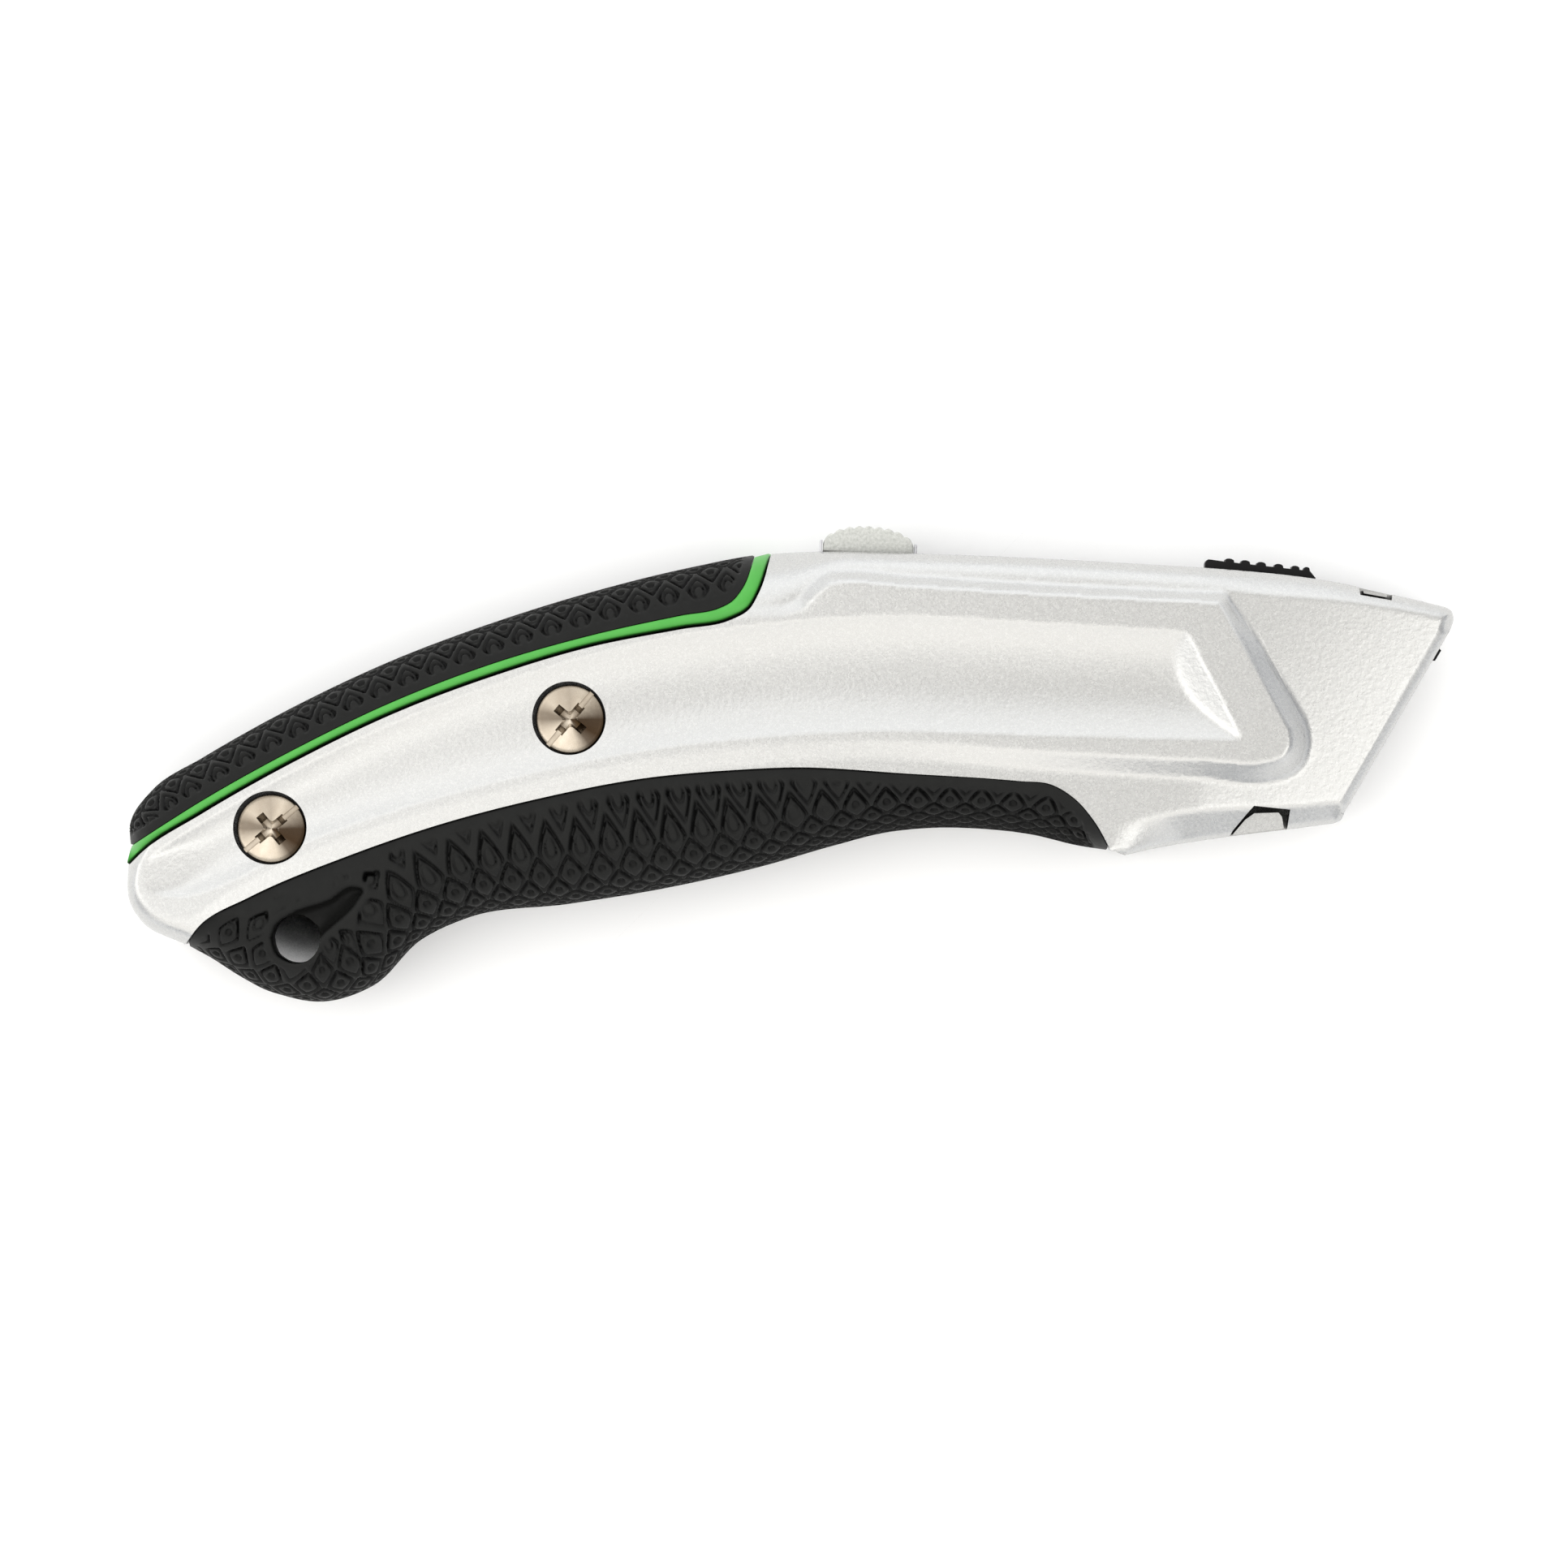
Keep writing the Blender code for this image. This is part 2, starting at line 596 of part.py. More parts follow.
def turned(name, centre, profile, count=32, **more):
    """A solid turned round a vertical axis, from (radius, z) points whose ends are on the axis."""
    rings = [p for p in profile if p[0] > 0]
    points = [(centre[0], centre[1], profile[0][1])]
    for radius, z in rings:
        points += [(x, y, z) for x, y in circle(centre, radius, count)]
    points.append((centre[0], centre[1], profile[-1][1]))
    last = len(points) - 1
    faces = [(0, 1 + (i + 1) % count, 1 + i) for i in range(count)]
    for k in range(len(rings) - 1):
        a, b = 1 + k * count, 1 + (k + 1) * count
        faces += [(a + i, a + (i + 1) % count, b + (i + 1) % count, b + i) for i in range(count)]
    end = 1 + (len(rings) - 1) * count
    faces += [(end + i, end + (i + 1) % count, last) for i in range(count)]
    return new_object(name, points, faces, **more)


def bar(centre, length, width, turn):
    """A plan rectangle turned by so many degrees."""
    c, s = math.cos(math.radians(turn)), math.sin(math.radians(turn))
    corners = [(-1, -1), (1, -1), (1, 1), (-1, 1)]
    offsets = [(a * length / 2, b * width / 2) for a, b in corners]
    return [(centre[0] + x * c - y * s, centre[1] + x * s + y * c) for x, y in offsets]


def make_screws(steel):
    low = SEAT_Z + 0.3
    profile = [(0.0, -6.5), (SHANK_R - 0.5, -6.5), (SHANK_R, -6.0), (SHANK_R, low), (HEAD_R, low)]
    profile += [(HEAD_R, 8.2), (HEAD_R - 0.3, 8.5), (2.4, 8.75), (0.0, 8.85)]
    for name, centre, turn in zip(("front", "rear"), SCREWS, SCREW_TURNS, strict=True):
        screw = turned(f"{name}_body_screw", centre, profile, material=steel)
        slot = cutter(f"{name}_slot", bar(centre, 9.6, 0.8, turn), 8.0, 10.0)
        cross = [
            cutter(f"{name}_cross_{i}", bar(centre, 4.9, 1.0, turn + 90 * i), 6.9, 10.0)
            for i in range(2)
        ]
        minus(screw, slot, *cross)


# Blade, carriage and knob.


def blade(name, du, dw, z, steel):
    """A trapezoid blade with two notches in its back, ground to an edge along its long side."""
    u0, w0 = BLADE_U + du, BLADE_W + dw
    slope = (BLADE_LENGTH - BLADE_BACK) / 2 / BLADE_HEIGHT
    back = w0 + BLADE_HEIGHT
    rear = u0 + slope * BLADE_HEIGHT
    line = [(u0 + slope * BLADE_GRIND, w0 + BLADE_GRIND), (rear, back)]
    for notch in (13.0, 21.0):
        u = rear + notch - 1.4
        line += [(u, back), (u, back - 2.6), (u + 2.8, back - 2.6), (u + 2.8, back)]
    line += [(rear + BLADE_BACK, back)]
    line += [(u0 + BLADE_LENGTH - slope * BLADE_GRIND, w0 + BLADE_GRIND)]
    edge = track([(u0, w0), (u0 + BLADE_LENGTH, w0)])
    line = track(line)
    count = len(line)
    points = [(x, y, z + h) for h in (BLADE_HALF, -BLADE_HALF) for x, y in line]
    points += [(x, y, z + h) for h in (0.04, -0.04) for x, y in edge]
    e = 2 * count
    faces = [tuple(range(count)), tuple(range(2 * count - 1, count - 1, -1))]
    faces += [(i, i + 1, i + 1 + count, i + count) for i in range(count - 1)]
    faces += [(count - 1, 0, e, e + 1), (2 * count - 1, count, e + 2, e + 3)]
    faces += [(0, count, e + 2, e), (count - 1, 2 * count - 1, e + 3, e + 1)]
    faces += [(e, e + 2, e + 3, e + 1)]
    return new_object(name, points, faces, material=steel)


def make_blades(steel, plastic):
    blade("cutting_blade", 0.0, 0.0, 0.0, steel)
    for i in range(3):
        blade(f"spare_blade_{i + 1}", -32.6, 2.6, -4.2 - 0.9 * i, steel)
    strip = track([(-22.2, 2.2), (-21.6, 1.8), (-11.6, 15.9), (-12.2, 16.3)])
    prism("spare_blade_clip", strip, -6.35, -3.9, material=plastic)


def make_carriage(plastic, steel):
    """A plate beside the blade with a lug in its back notch and a tab up to the knob's frame."""
    plate = [(4.0, 1.1), (20.0, 1.1), (22.0, 3.0), (40.0, 3.0), (40.0, 17.2), (21.0, 17.2)]
    plate += [(18.0, 20.0), (15.0, 24.6), (14.0, 26.1), (6.0, 26.1), (5.0, 24.6), (4.0, 20.0)]
    carrier = prism("blade_carrier", track(plate), -3.2, -0.6, material=plastic)
    notch = BLADE_U + (BLADE_LENGTH - BLADE_BACK) / 2 + 13.0
    back = BLADE_W + BLADE_HEIGHT
    lug = track_box(notch - 1.0, notch + 1.0, back - 2.2, back - 0.4)
    plus(carrier, cutter("carrier_lug", lug, -1.0, 0.45))
    frame = [(3.65, 26.4), (16.65, 26.4), (16.65, 29.5), (16.3, 29.7), (16.3, 27.0)]
    frame += [(4.0, 27.0), (4.0, 29.9), (3.65, 29.7)]
    prism("knob_frame", track(frame), -3.9, 3.9, material=steel)


def knob_outline():
    """A low arch with a serrated top."""
    u0, u1 = KNOB_U
    line = [(u0, 28.3), (u1, 28.3)]
    teeth = 9
    for i in range(2 * teeth + 1):
        t = 1.0 - i / (2 * teeth)
        arch = 29.5 + (KNOB_TOP - 29.5) * (1.0 - (2 * t - 1) ** 2) ** 0.75
        line.append((u0 + (u1 - u0) * t, arch - (0.0 if i % 2 else 0.3)))
    return line


def bowed_strip(start, end, rise, thick, count=8):
    """The side view of a leaf spring: a strip that bows up between its ends."""
    spots = [i / count for i in range(count + 1)]
    lower = [
        (
            start[0] + (end[0] - start[0]) * t,
            start[1] + (end[1] - start[1]) * t + 4 * rise * t * (1 - t),
        )
        for t in spots
    ]
    return lower + [(x, y + thick) for x, y in reversed(lower)]


def make_knob(plastic, spring):
    prism("thumb_knob", track(knob_outline()), -3.7, 3.7, material=plastic)
    leaf = bowed_strip((5.2, 27.3), (15.0, 27.3), 0.45, 0.2)
    prism("knob_spring", track(leaf), -1.8, 1.8, material=spring)
    detent = bowed_strip((7.0, -0.3), (45.0, -0.3), 0.7, 0.35)
    prism("detent_spring", track(detent), -3.0, -1.0, material=spring)


# Release button and nose guide.


def button_outline():
    """A lever with a hinge end at the rear and ribs along its top."""
    x0, x1 = BUTTON_X
    slope = math.tan(math.radians(-6.3))

    def top(x):
        return 27.1 + slope * (x - x0)

    line = [(49.9, 20.8), (49.9, 24.1), (50.4, 24.5), (x0, 24.5), (x0, top(x0) - 0.35)]
    line += [(x0 + 0.6, top(x0))]
    for x in (57.9, 60.0, 62.1, 64.4, 66.6):
        line += [(x - 0.7, top(x - 0.7)), (x - 0.55, top(x) + 0.45)]
        line += [(x + 0.45, top(x) + 0.42), (x + 0.6, top(x + 0.6))]
    line += [(68.0, top(68.0)), (x1, top(x1) - 0.9), (x1, 22.9), (58.0, 22.2), (54.5, 20.8)]
    return line


def make_button(plastic, steel, spring):
    button = prism(
        "release_button", button_outline(), -BUTTON_HALF, BUTTON_HALF, material=plastic
    )
    minus(button, cutter("button_eye", circle(PIN, PIN_R + 0.3, 20), -6.0, 6.0))
    prism("release_pin", circle(PIN, PIN_R, 20), -5.5, 5.5, material=steel)
    leaf = bowed_strip((57.5, 21.0), (68.0, 20.75), 0.75, 0.25)
    prism("release_spring", leaf, -2.0, 2.0, material=spring)


def make_guide(plastic):
    """A liner over the blade's back, whose end stands just out of the nose."""
    line = track([(62.0, 17.75), (84.35, 17.75), (85.1, 19.15), (84.6, 19.6), (62.0, 19.6)])
    prism("nose_blade_guide", line, -1.5, 1.5, material=plastic)


def main():
    silver = material("silver_paint", (0.78, 0.79, 0.78), 0.42, 0.55)
    rubber = material("black_rubber", (0.035, 0.035, 0.037), 0.6)
    green = material("green_trim", (0.09, 0.60, 0.10), 0.4)
    nickel = material("screw_nickel", (0.72, 0.66, 0.56), 0.22, 1.0)
    blade_steel = material("blade_steel", (0.62, 0.63, 0.65), 0.25, 1.0)
    spring_steel = material("spring_steel", (0.5, 0.5, 0.52), 0.3, 1.0)
    knob_grey = material("knob_grey", (0.72, 0.74, 0.71), 0.5)
    black = material("black_plastic", (0.03, 0.03, 0.032), 0.45)
    make_shells(silver)
    make_grips(rubber, green)
    make_screws(nickel)
    make_blades(blade_steel, spring_steel)
    make_carriage(black, spring_steel)
    make_knob(knob_grey, spring_steel)
    make_button(black, nickel, spring_steel)
    make_guide(black)


for leftover in list(bpy.data.objects):
    bpy.data.objects.remove(leftover)
PLANE = bpy.data.objects.new("parting_plane", None)
PLANE.location = (0.0, 0.0, HALF_WIDTH * MM)
bpy.context.collection.objects.link(PLANE)
main()
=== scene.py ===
"""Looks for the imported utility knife, built round its CAD model.

The knife lies on its left side: +X towards the nose, +Y towards the spine, +Z up. Plan outlines are in
millimetres, and each half of the handle is a height over the parting plane, z = 0.
"""

import json
import math

import bmesh
import bpy
import numpy as np
from mathutils import Matrix, Vector
from mathutils.geometry import delaunay_2d_cdt


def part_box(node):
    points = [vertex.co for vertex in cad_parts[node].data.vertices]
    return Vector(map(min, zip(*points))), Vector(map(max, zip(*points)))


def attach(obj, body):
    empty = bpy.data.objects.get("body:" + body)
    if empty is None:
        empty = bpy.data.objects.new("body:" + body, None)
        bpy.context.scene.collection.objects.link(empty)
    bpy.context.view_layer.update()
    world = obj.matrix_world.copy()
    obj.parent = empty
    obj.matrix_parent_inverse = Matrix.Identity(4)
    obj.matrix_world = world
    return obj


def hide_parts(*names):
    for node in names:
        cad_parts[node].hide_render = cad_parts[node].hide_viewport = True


MM = 0.001

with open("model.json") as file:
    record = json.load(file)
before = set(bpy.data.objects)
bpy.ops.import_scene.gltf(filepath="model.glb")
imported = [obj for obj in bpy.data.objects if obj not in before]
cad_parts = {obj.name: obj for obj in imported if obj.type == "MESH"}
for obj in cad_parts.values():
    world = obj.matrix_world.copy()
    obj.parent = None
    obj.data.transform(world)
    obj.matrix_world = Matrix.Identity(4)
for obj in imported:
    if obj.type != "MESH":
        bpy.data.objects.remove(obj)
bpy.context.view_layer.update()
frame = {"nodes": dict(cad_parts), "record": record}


def cad_middle(node):
    """The middle of a CAD node's box, in millimetres."""
    low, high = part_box(node)
    return (low + high) / 2 / MM


# Driving dimensions, mm.
HALF_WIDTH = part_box("right_body_shell")[1].z / MM / 2
HALF_GAP = 0.02  # each half stands back this far from the parting plane
SEAM = 0.06  # and each piece this far from a neighbour's edge
RUBBER = 2.3  # thickness of the grips over the cast core
CORE_GAP = 0.3
CORE_REACH = (-82.0, 38.0)  # the X where the core starts and ends
CAVITY = 6.6
TILT = math.radians(2.76)  # of the blade's track, down towards the nose

SCREWS = [tuple(cad_middle(f"{end}_body_screw").xy) for end in ("front", "rear")]
HEAD_R = 4.52
HEAD_TOP = 8.5
HEAD_CROWN = 0.35
HEAD_SHIFT = 0.13  # how far each head sits off its bore, towards the nose and the belly
BORE_R = 4.85
SHANK_R = 2.2
SHANK_BORE_R = 2.5
SEAT_Z = 6.2
OUTSIDE = 14.0  # height that a cutter reaches to be clear of the surface
SCREW_TURNS = (50.0, 40.0)  # how far each head stops round, in degrees

LANYARD = (-65.3, -23.1)
LANYARD_R = 3.2
PIN = tuple(cad_middle("release_pin").xy)
PIN_BORE = (1.3, 32)  # radius and sides

SLOT_U = (2.0, 42.2)  # the knob's slot, along the track
SLOT_HALF = 4.3
KNOB_U = (2.8, 14.75)
BUTTON_HALF = 3.9

FINE_STEP = 0.42  # spacing of the points on the metal
PITCH = 4.06  # of the grips' pattern along the handle

# Plan outlines, as points on smooth curves.
SPINE = [
    (-87.3, -10.9), (-87.45, -7.9), (-84.3, -3.2), (-77.8, 0.9), (-65.0, 8.0), (-52.1, 14.0),
    (-39.2, 18.8), (-26.3, 22.8), (-13.4, 26.0), (-3.8, 27.75), (2.7, 28.08), (18.8, 27.75),
    (47.8, 26.36), (58.0, 25.7), (70.3, 24.32), (80.0, 22.28), (86.2, 20.82),
]
NOSE_CORNER = [(86.2, 20.82), (87.15, 20.3), (87.5, 19.3), (87.15, 17.9)]
FRONT = [(87.15, 17.9), (73.0, -6.5)]
HEEL_CORNER = [(73.0, -6.5), (72.6, -7.4), (71.6, -7.9)]
NOSE_BOTTOM = [(71.6, -7.9), (67.1, -8.5), (54.2, -10.15), (47.8, -11.2), (44.0, -12.08)]
GRIP_TIP = [(44.0, -12.08), (42.1, -11.4)]
BELLY = [
    (42.1, -11.4), (38.1, -10.8), (31.7, -9.3), (25.0, -8.55), (18.8, -8.43), (12.4, -9.07),
    (5.9, -10.7), (-3.8, -13.5), (-16.6, -16.4), (-29.5, -18.5), (-42.4, -20.2), (-48.9, -23.2),
    (-55.3, -29.3), (-61.7, -31.4), (-68.2, -30.3), (-77.8, -25.0), (-79.9, -23.85),
]
TAIL = [(-79.9, -23.85), (-85.6, -20.9), (-87.1, -18.6), (-87.45, -13.4), (-87.3, -10.9)]

GRIP_EDGE = [
    (-79.9, -23.85), (-77.8, -21.2), (-71.4, -17.6), (-58.5, -12.2), (-45.6, -7.8), (-32.8, -4.5),
    (-19.9, -2.0), (-7.0, -0.81), (0.0, -0.5), (15.6, -1.34), (30.0, -2.3), (34.2, -2.75),
    (37.4, -4.7), (39.9, -7.6), (42.1, -11.4),
]
TRIM_TOP = [
    (-87.3, -10.9), (-84.3, -9.0), (-77.8, -4.9), (-65.0, 2.2), (-52.1, 8.4), (-39.2, 13.3),
    (-26.3, 17.0), (-14.5, 19.6), (-9.4, 20.6), (-7.9, 21.4), (-6.55, 23.0), (-4.8, 27.5),
]
TRIM_BOTTOM = [
    (-87.45, -13.4), (-85.6, -11.6), (-77.8, -6.6), (-65.0, 0.6), (-52.1, 6.8), (-39.2, 11.65),
    (-26.3, 15.5), (-14.5, 17.8), (-8.2, 18.95), (-5.6, 20.4), (-4.4, 22.4), (-2.6, 27.9),
]

# The raised panel on each side, and the scoop in it.
PANEL_UPPER = [
    (-84.3, -10.3), (-77.8, -6.2), (-65.0, 1.0), (-52.1, 7.2), (-39.2, 12.0), (-26.3, 15.9),
    (-14.5, 18.2), (-6.0, 19.2), (0.0, 19.75), (1.6, 20.5), (3.6, 22.6), (5.2, 23.7), (7.5, 23.95),
    (14.0, 23.5), (32.75, 22.35), (56.4, 21.2),
]
PANEL_LOWER = [
    (65.5, 4.5), (65.7, 2.6), (64.9, 1.0), (63.0, 0.35), (54.2, 0.6), (32.75, 1.8), (11.3, 3.2),
    (-7.0, 2.2), (-23.6, 0.0), (-37.0, -3.0), (-50.5, -6.8), (-64.0, -11.6), (-74.0, -16.6),
    (-80.0, -20.1), (-85.1, -18.2), (-86.2, -16.2), (-86.1, -13.6), (-84.3, -10.3),
]
SCOOP_UPPER = [
    (-85.4, -12.6), (-77.8, -7.8), (-65.0, -0.6), (-52.1, 5.6), (-39.2, 10.5), (-26.3, 14.5),
    (-14.5, 17.1), (-4.8, 18.4), (3.2, 19.2), (14.0, 19.6), (32.75, 18.7), (52.1, 17.6), (60.0, 17.2),
]
SCOOP_LOWER = [
    (-85.4, -16.9), (-80.2, -17.6), (-76.0, -16.4), (-64.0, -10.4), (-50.5, -5.7), (-37.0, -2.0),
    (-23.6, 1.0), (-4.8, 3.4), (8.6, 4.2), (32.75, 3.7), (60.0, 3.0),
]
SCOOP_END = ((52.1, 17.6), (58.6, 4.9))

TEARDROP = [
    (-68.6, -22.9), (-67.9, -21.1), (-66.1, -19.8), (-61.0, -18.0), (-57.6, -16.2), (-56.5, -16.6),
    (-57.2, -18.0), (-61.9, -22.6), (-65.3, -26.2), (-67.8, -25.2),
]
HEEL_NOTCH = [
    (57.4, -10.2), (58.3, -8.7), (60.2, -6.4), (61.0, -5.5), (65.8, -6.0), (65.3, -9.5),
]
HEEL_LUG = [(58.2, -9.35), (59.9, -7.35), (61.1, -6.5), (64.3, -6.4), (64.75, -6.95), (65.0, -8.5)]
TOP_NOTCH = [(74.7, 24.5), (75.05, 22.3), (79.2, 21.6), (79.5, 23.5)]
TOP_LUG = [(75.5, 22.9), (75.6, 22.55), (78.6, 22.0), (78.7, 22.4)]


# Curves and plan geometry.


def ramp(value, low, high):
    """0 below low, 1 above high, smooth between."""
    t = np.clip((value - low) / (high - low), 0.0, 1.0)
    return t * t * (3.0 - 2.0 * t)


def run_lengths(line):
    """How far along the line each of its points lies."""
    return np.concatenate([[0.0], np.cumsum(np.hypot(*np.diff(line, axis=0).T))])


def smooth_path(points, step=0.5):
    """A smooth curve through the points, as points about one step apart."""
    knots = np.array(points, float)
    along = run_lengths(knots)
    slopes = np.gradient(knots, along, axis=0)
    at = np.linspace(0.0, along[-1], max(2, math.ceil(along[-1] / step) + 1))
    i = np.clip(np.searchsorted(along, at, side="right") - 1, 0, len(knots) - 2)
    width = (along[i + 1] - along[i])[:, None]
    t = (at - along[i])[:, None] / width
    value = (1 + 2 * t) * (1 - t) ** 2 * knots[i] + t * t * (3 - 2 * t) * knots[i + 1]
    return value + width * (t * (1 - t) ** 2 * slopes[i] + t * t * (t - 1) * slopes[i + 1])


def joined(*paths):
    """Paths end to end as one, without the points that repeat."""
    points = np.concatenate([np.asarray(path, float) for path in paths])
    far = np.hypot(*(points - np.roll(points, 1, axis=0)).T) > 1e-4
    return points[far]


def nearest(points, line, closed=False):
    """Each point's distance to the line, and how far along the line its nearest spot is."""
    line = np.asarray(line, float)
    ends = np.roll(line, -1, axis=0) if closed else line[1:]
    starts = line if closed else line[:-1]
    best, where, passed = np.full(len(points), np.inf), np.zeros(len(points)), 0.0
    for a, b in zip(starts, ends, strict=True):
        d = b - a
        length = max(math.hypot(*d), 1e-9)
        t = np.clip(((points - a) @ d) / length**2, 0.0, 1.0)
        away = np.hypot(*(points - a - t[:, None] * d).T)
        closer = away < best
        best[closer] = away[closer]
        where[closer] = passed + t[closer] * length
        passed += length
    return best, where


def segment_distances(points, line, closed=False):
    """Each point's distance to the line."""
    return nearest(points, line, closed)[0]


def inside(points, polygon):
    """Which points lie inside the closed polygon."""
    found = np.zeros(len(points), bool)
    x, y = points.T
    for (x0, y0), (x1, y1) in zip(polygon, np.roll(polygon, -1, axis=0), strict=True):
        if y0 == y1:
            continue
        crosses = (y0 > y) != (y1 > y)
        found ^= crosses & (x < (x1 - x0) * (y - y0) / (y1 - y0) + x0)
    return found


def thinned(path, fit, closed=False):
    """The path with only the points it needs to stay within fit of itself."""
    path = np.asarray(path, float)
    if closed:
        half = len(path) // 2
        first = thinned(path[: half + 1], fit)
        second = thinned(np.vstack([path[half:], path[:1]]), fit)
        return np.vstack([first[:-1], second[:-1]])
    if len(path) < 3:
        return path
    away = segment_distances(path, path[[0, -1]])
    worst = int(away.argmax())
    if away[worst] <= fit:
        return path[[0, -1]]
    return np.vstack([thinned(path[: worst + 1], fit)[:-1], thinned(path[worst:], fit)])


def moved_in(polygon, distance):
    """The closed polygon pulled in by the distance, on whichever side its inside is."""
    polygon = np.asarray(polygon, float)
    tangent = np.roll(polygon, -1, axis=0) - np.roll(polygon, 1, axis=0)
    normal = np.stack([-tangent[:, 1], tangent[:, 0]], axis=1)
    normal /= np.maximum(np.hypot(*normal.T), 1e-9)[:, None]
    x, y = polygon.T
    area = (x * np.roll(y, -1) - y * np.roll(x, -1)).sum() / 2
    return polygon + normal * distance * math.copysign(1.0, area)


def inset(polygon, distance):
    """The same, without the points that end up too close to another stretch of it."""
    moved = moved_in(polygon, distance)
    clear = segment_distances(moved, polygon, closed=True) > distance * 0.97
    return moved[clear & inside(moved, polygon)]


def track(points):
    """Track coordinates, along and up from the blade's line of travel, as plan points."""
    c, s = math.cos(TILT), math.sin(TILT)
    return [(u * c + w * s, w * c - u * s) for u, w in points]


def track_box(u0, u1, w0, w1):
    """A box in track coordinates, as plan points."""
    return track([(u0, w0), (u1, w0), (u1, w1), (u0, w1)])


def circle(centre, radius, count=96):
    """Points round a circle."""
    turns = [2 * math.pi * i / count for i in range(count)]
    return [(centre[0] + radius * math.cos(a), centre[1] + radius * math.sin(a)) for a in turns]


TOP_EDGE = joined(smooth_path(SPINE), smooth_path(NOSE_CORNER, 0.25))
BOTTOM_EDGE = joined(smooth_path(HEEL_CORNER, 0.25), smooth_path(NOSE_BOTTOM), GRIP_TIP)
BELLY_EDGE = smooth_path(BELLY)
TAIL_EDGE = smooth_path(TAIL)
FRONT_EDGE = smooth_path(FRONT)
OUTLINE = joined(TOP_EDGE, FRONT_EDGE, BOTTOM_EDGE, BELLY_EDGE, TAIL_EDGE)
EDGE_OF_GRIP = smooth_path(GRIP_EDGE)
TRIM_UP = smooth_path(TRIM_TOP)
TRIM_DOWN = smooth_path(TRIM_BOTTOM)


def spine_between(x0, x1):
    """The stretch of the top edge from one X to another, both past the tail's turn."""
    return TOP_EDGE[(TOP_EDGE[:, 0] > x0) & (TOP_EDGE[:, 0] < x1)]


TAIL_TURN = smooth_path(SPINE)[:24]  # the spine's first stretch, where it comes round the tail
METAL = joined(
    TRIM_DOWN, spine_between(-2.4, 90.0), FRONT_EDGE, BOTTOM_EDGE, EDGE_OF_GRIP[::-1],
    TAIL_EDGE[:-6],
)
PANEL = joined(smooth_path(PANEL_UPPER), smooth_path(PANEL_LOWER))
HIGH_SCOOP = smooth_path(SCOOP_UPPER)
LOW_SCOOP = smooth_path(SCOOP_LOWER)


# Heights over the parting plane.


def rounding(distance, reach, fall):
    """How far a surface has fallen at this distance from its edge: a quarter ellipse."""
    t = 1.0 - np.clip(distance / reach, 0.0, 1.0)
    return fall * (1.0 - np.sqrt(np.maximum(1.0 - t * t, 0.0)))


def soft_positive(value, radius):
    """The value where it is above zero, eased into zero over the radius."""
    return 0.5 * (value + np.sqrt(value * value + radius * radius))


def soft_min(a, b, radius):
    """The lower of two heights, eased where they cross."""
    return a - soft_positive(a - b, radius)


def top_fall(points):
    """Broad over the grip at the spine, tight along the metal top, tighter at the nose."""
    x = points[:, 0]
    forward = ramp(x, -3.0, 8.0)
    reach = 7.5 + (3.3 - 7.5) * forward - 1.1 * ramp(x, 60.0, 86.0)
    fall = 9.4 + (3.6 - 9.4) * forward
    return rounding(segment_distances(points, TOP_EDGE), reach, fall)


def scoop_depth(points):
    """A trough between two curves, ended by a slanted facet towards the nose."""
    x, y = points.T
    high = np.interp(x, HIGH_SCOOP[:, 0], HIGH_SCOOP[:, 1])
    low = np.interp(x, LOW_SCOOP[:, 0], LOW_SCOOP[:, 1])
    across = np.clip((y - low) / (high - low), 0.0, 1.0)
    depth = 1.1 + 0.6 * ramp(x, -40.0, 0.0)
    (x0, y0), (x1, y1) = SCOOP_END
    length = math.hypot(x1 - x0, y1 - y0)
    before_end = ((x - x0) * (y1 - y0) - (y - y0) * (x1 - x0)) / length
    trough = 4.0 * depth * across * (1.0 - across)
    ends = soft_min(0.46 * before_end, 0.13 * (x + 85.4), 0.1)
    return np.maximum(soft_min(trough, ends, 0.25), 0.0)


def chamfer(distance, reach, slope):
    """How far a straight chamfer has fallen at this distance from its edge."""
    return slope * np.maximum(reach - distance, 0.0)


def plain_height(points):
    """The metal round the panel: thinner towards the nose, which also falls away at its corner."""
    x, y = points.T
    low = 1.0 - ramp(y, 2.0, 10.0)
    forward = ramp(x, 8.0 * low - 3.0, 8.0 + 50.0 * low)
    turn = np.maximum(0.75 * (x - 56.0) + 0.65 * (12.0 - y), 0.0)
    height = 10.5 - 1.2 * forward
    return height - (0.045 * np.maximum(x - 54.0, 0.0) + 0.0028 * turn**2 * ramp(x, 48.0, 60.0))


def edge_fall(points):
    """Rounded at the spine and tail, and chamfered along the nose's top, front and bottom."""
    x = points[:, 0]
    nose = ramp(x, 52.0, 64.0)
    top = segment_distances(points, TOP_EDGE)
    edges = nose * chamfer(top, 2.9 - 1.5 * ramp(x, 62.0, 86.0), 0.5)
    edges += top_fall(points) * (1.0 - 0.55 * nose)
    front = segment_distances(points, FRONT)
    edges = np.maximum(edges, chamfer(front, 1.25, 0.55) + rounding(front, 0.5, 0.7))
    bottom = segment_distances(points, NOSE_BOTTOM)
    reach = 4.2 - 1.4 * ramp(x, 50.0, 72.0)
    slope = 0.68 * ramp(x, 42.0, 52.0) * soft_positive(reach - bottom, 0.25)
    slope = np.where(x > 42.0, slope + rounding(bottom, 0.9, 1.0), 0.0)
    return np.maximum(edges, slope) + rounding(segment_distances(points, TAIL_EDGE), 2.4, 3.5)


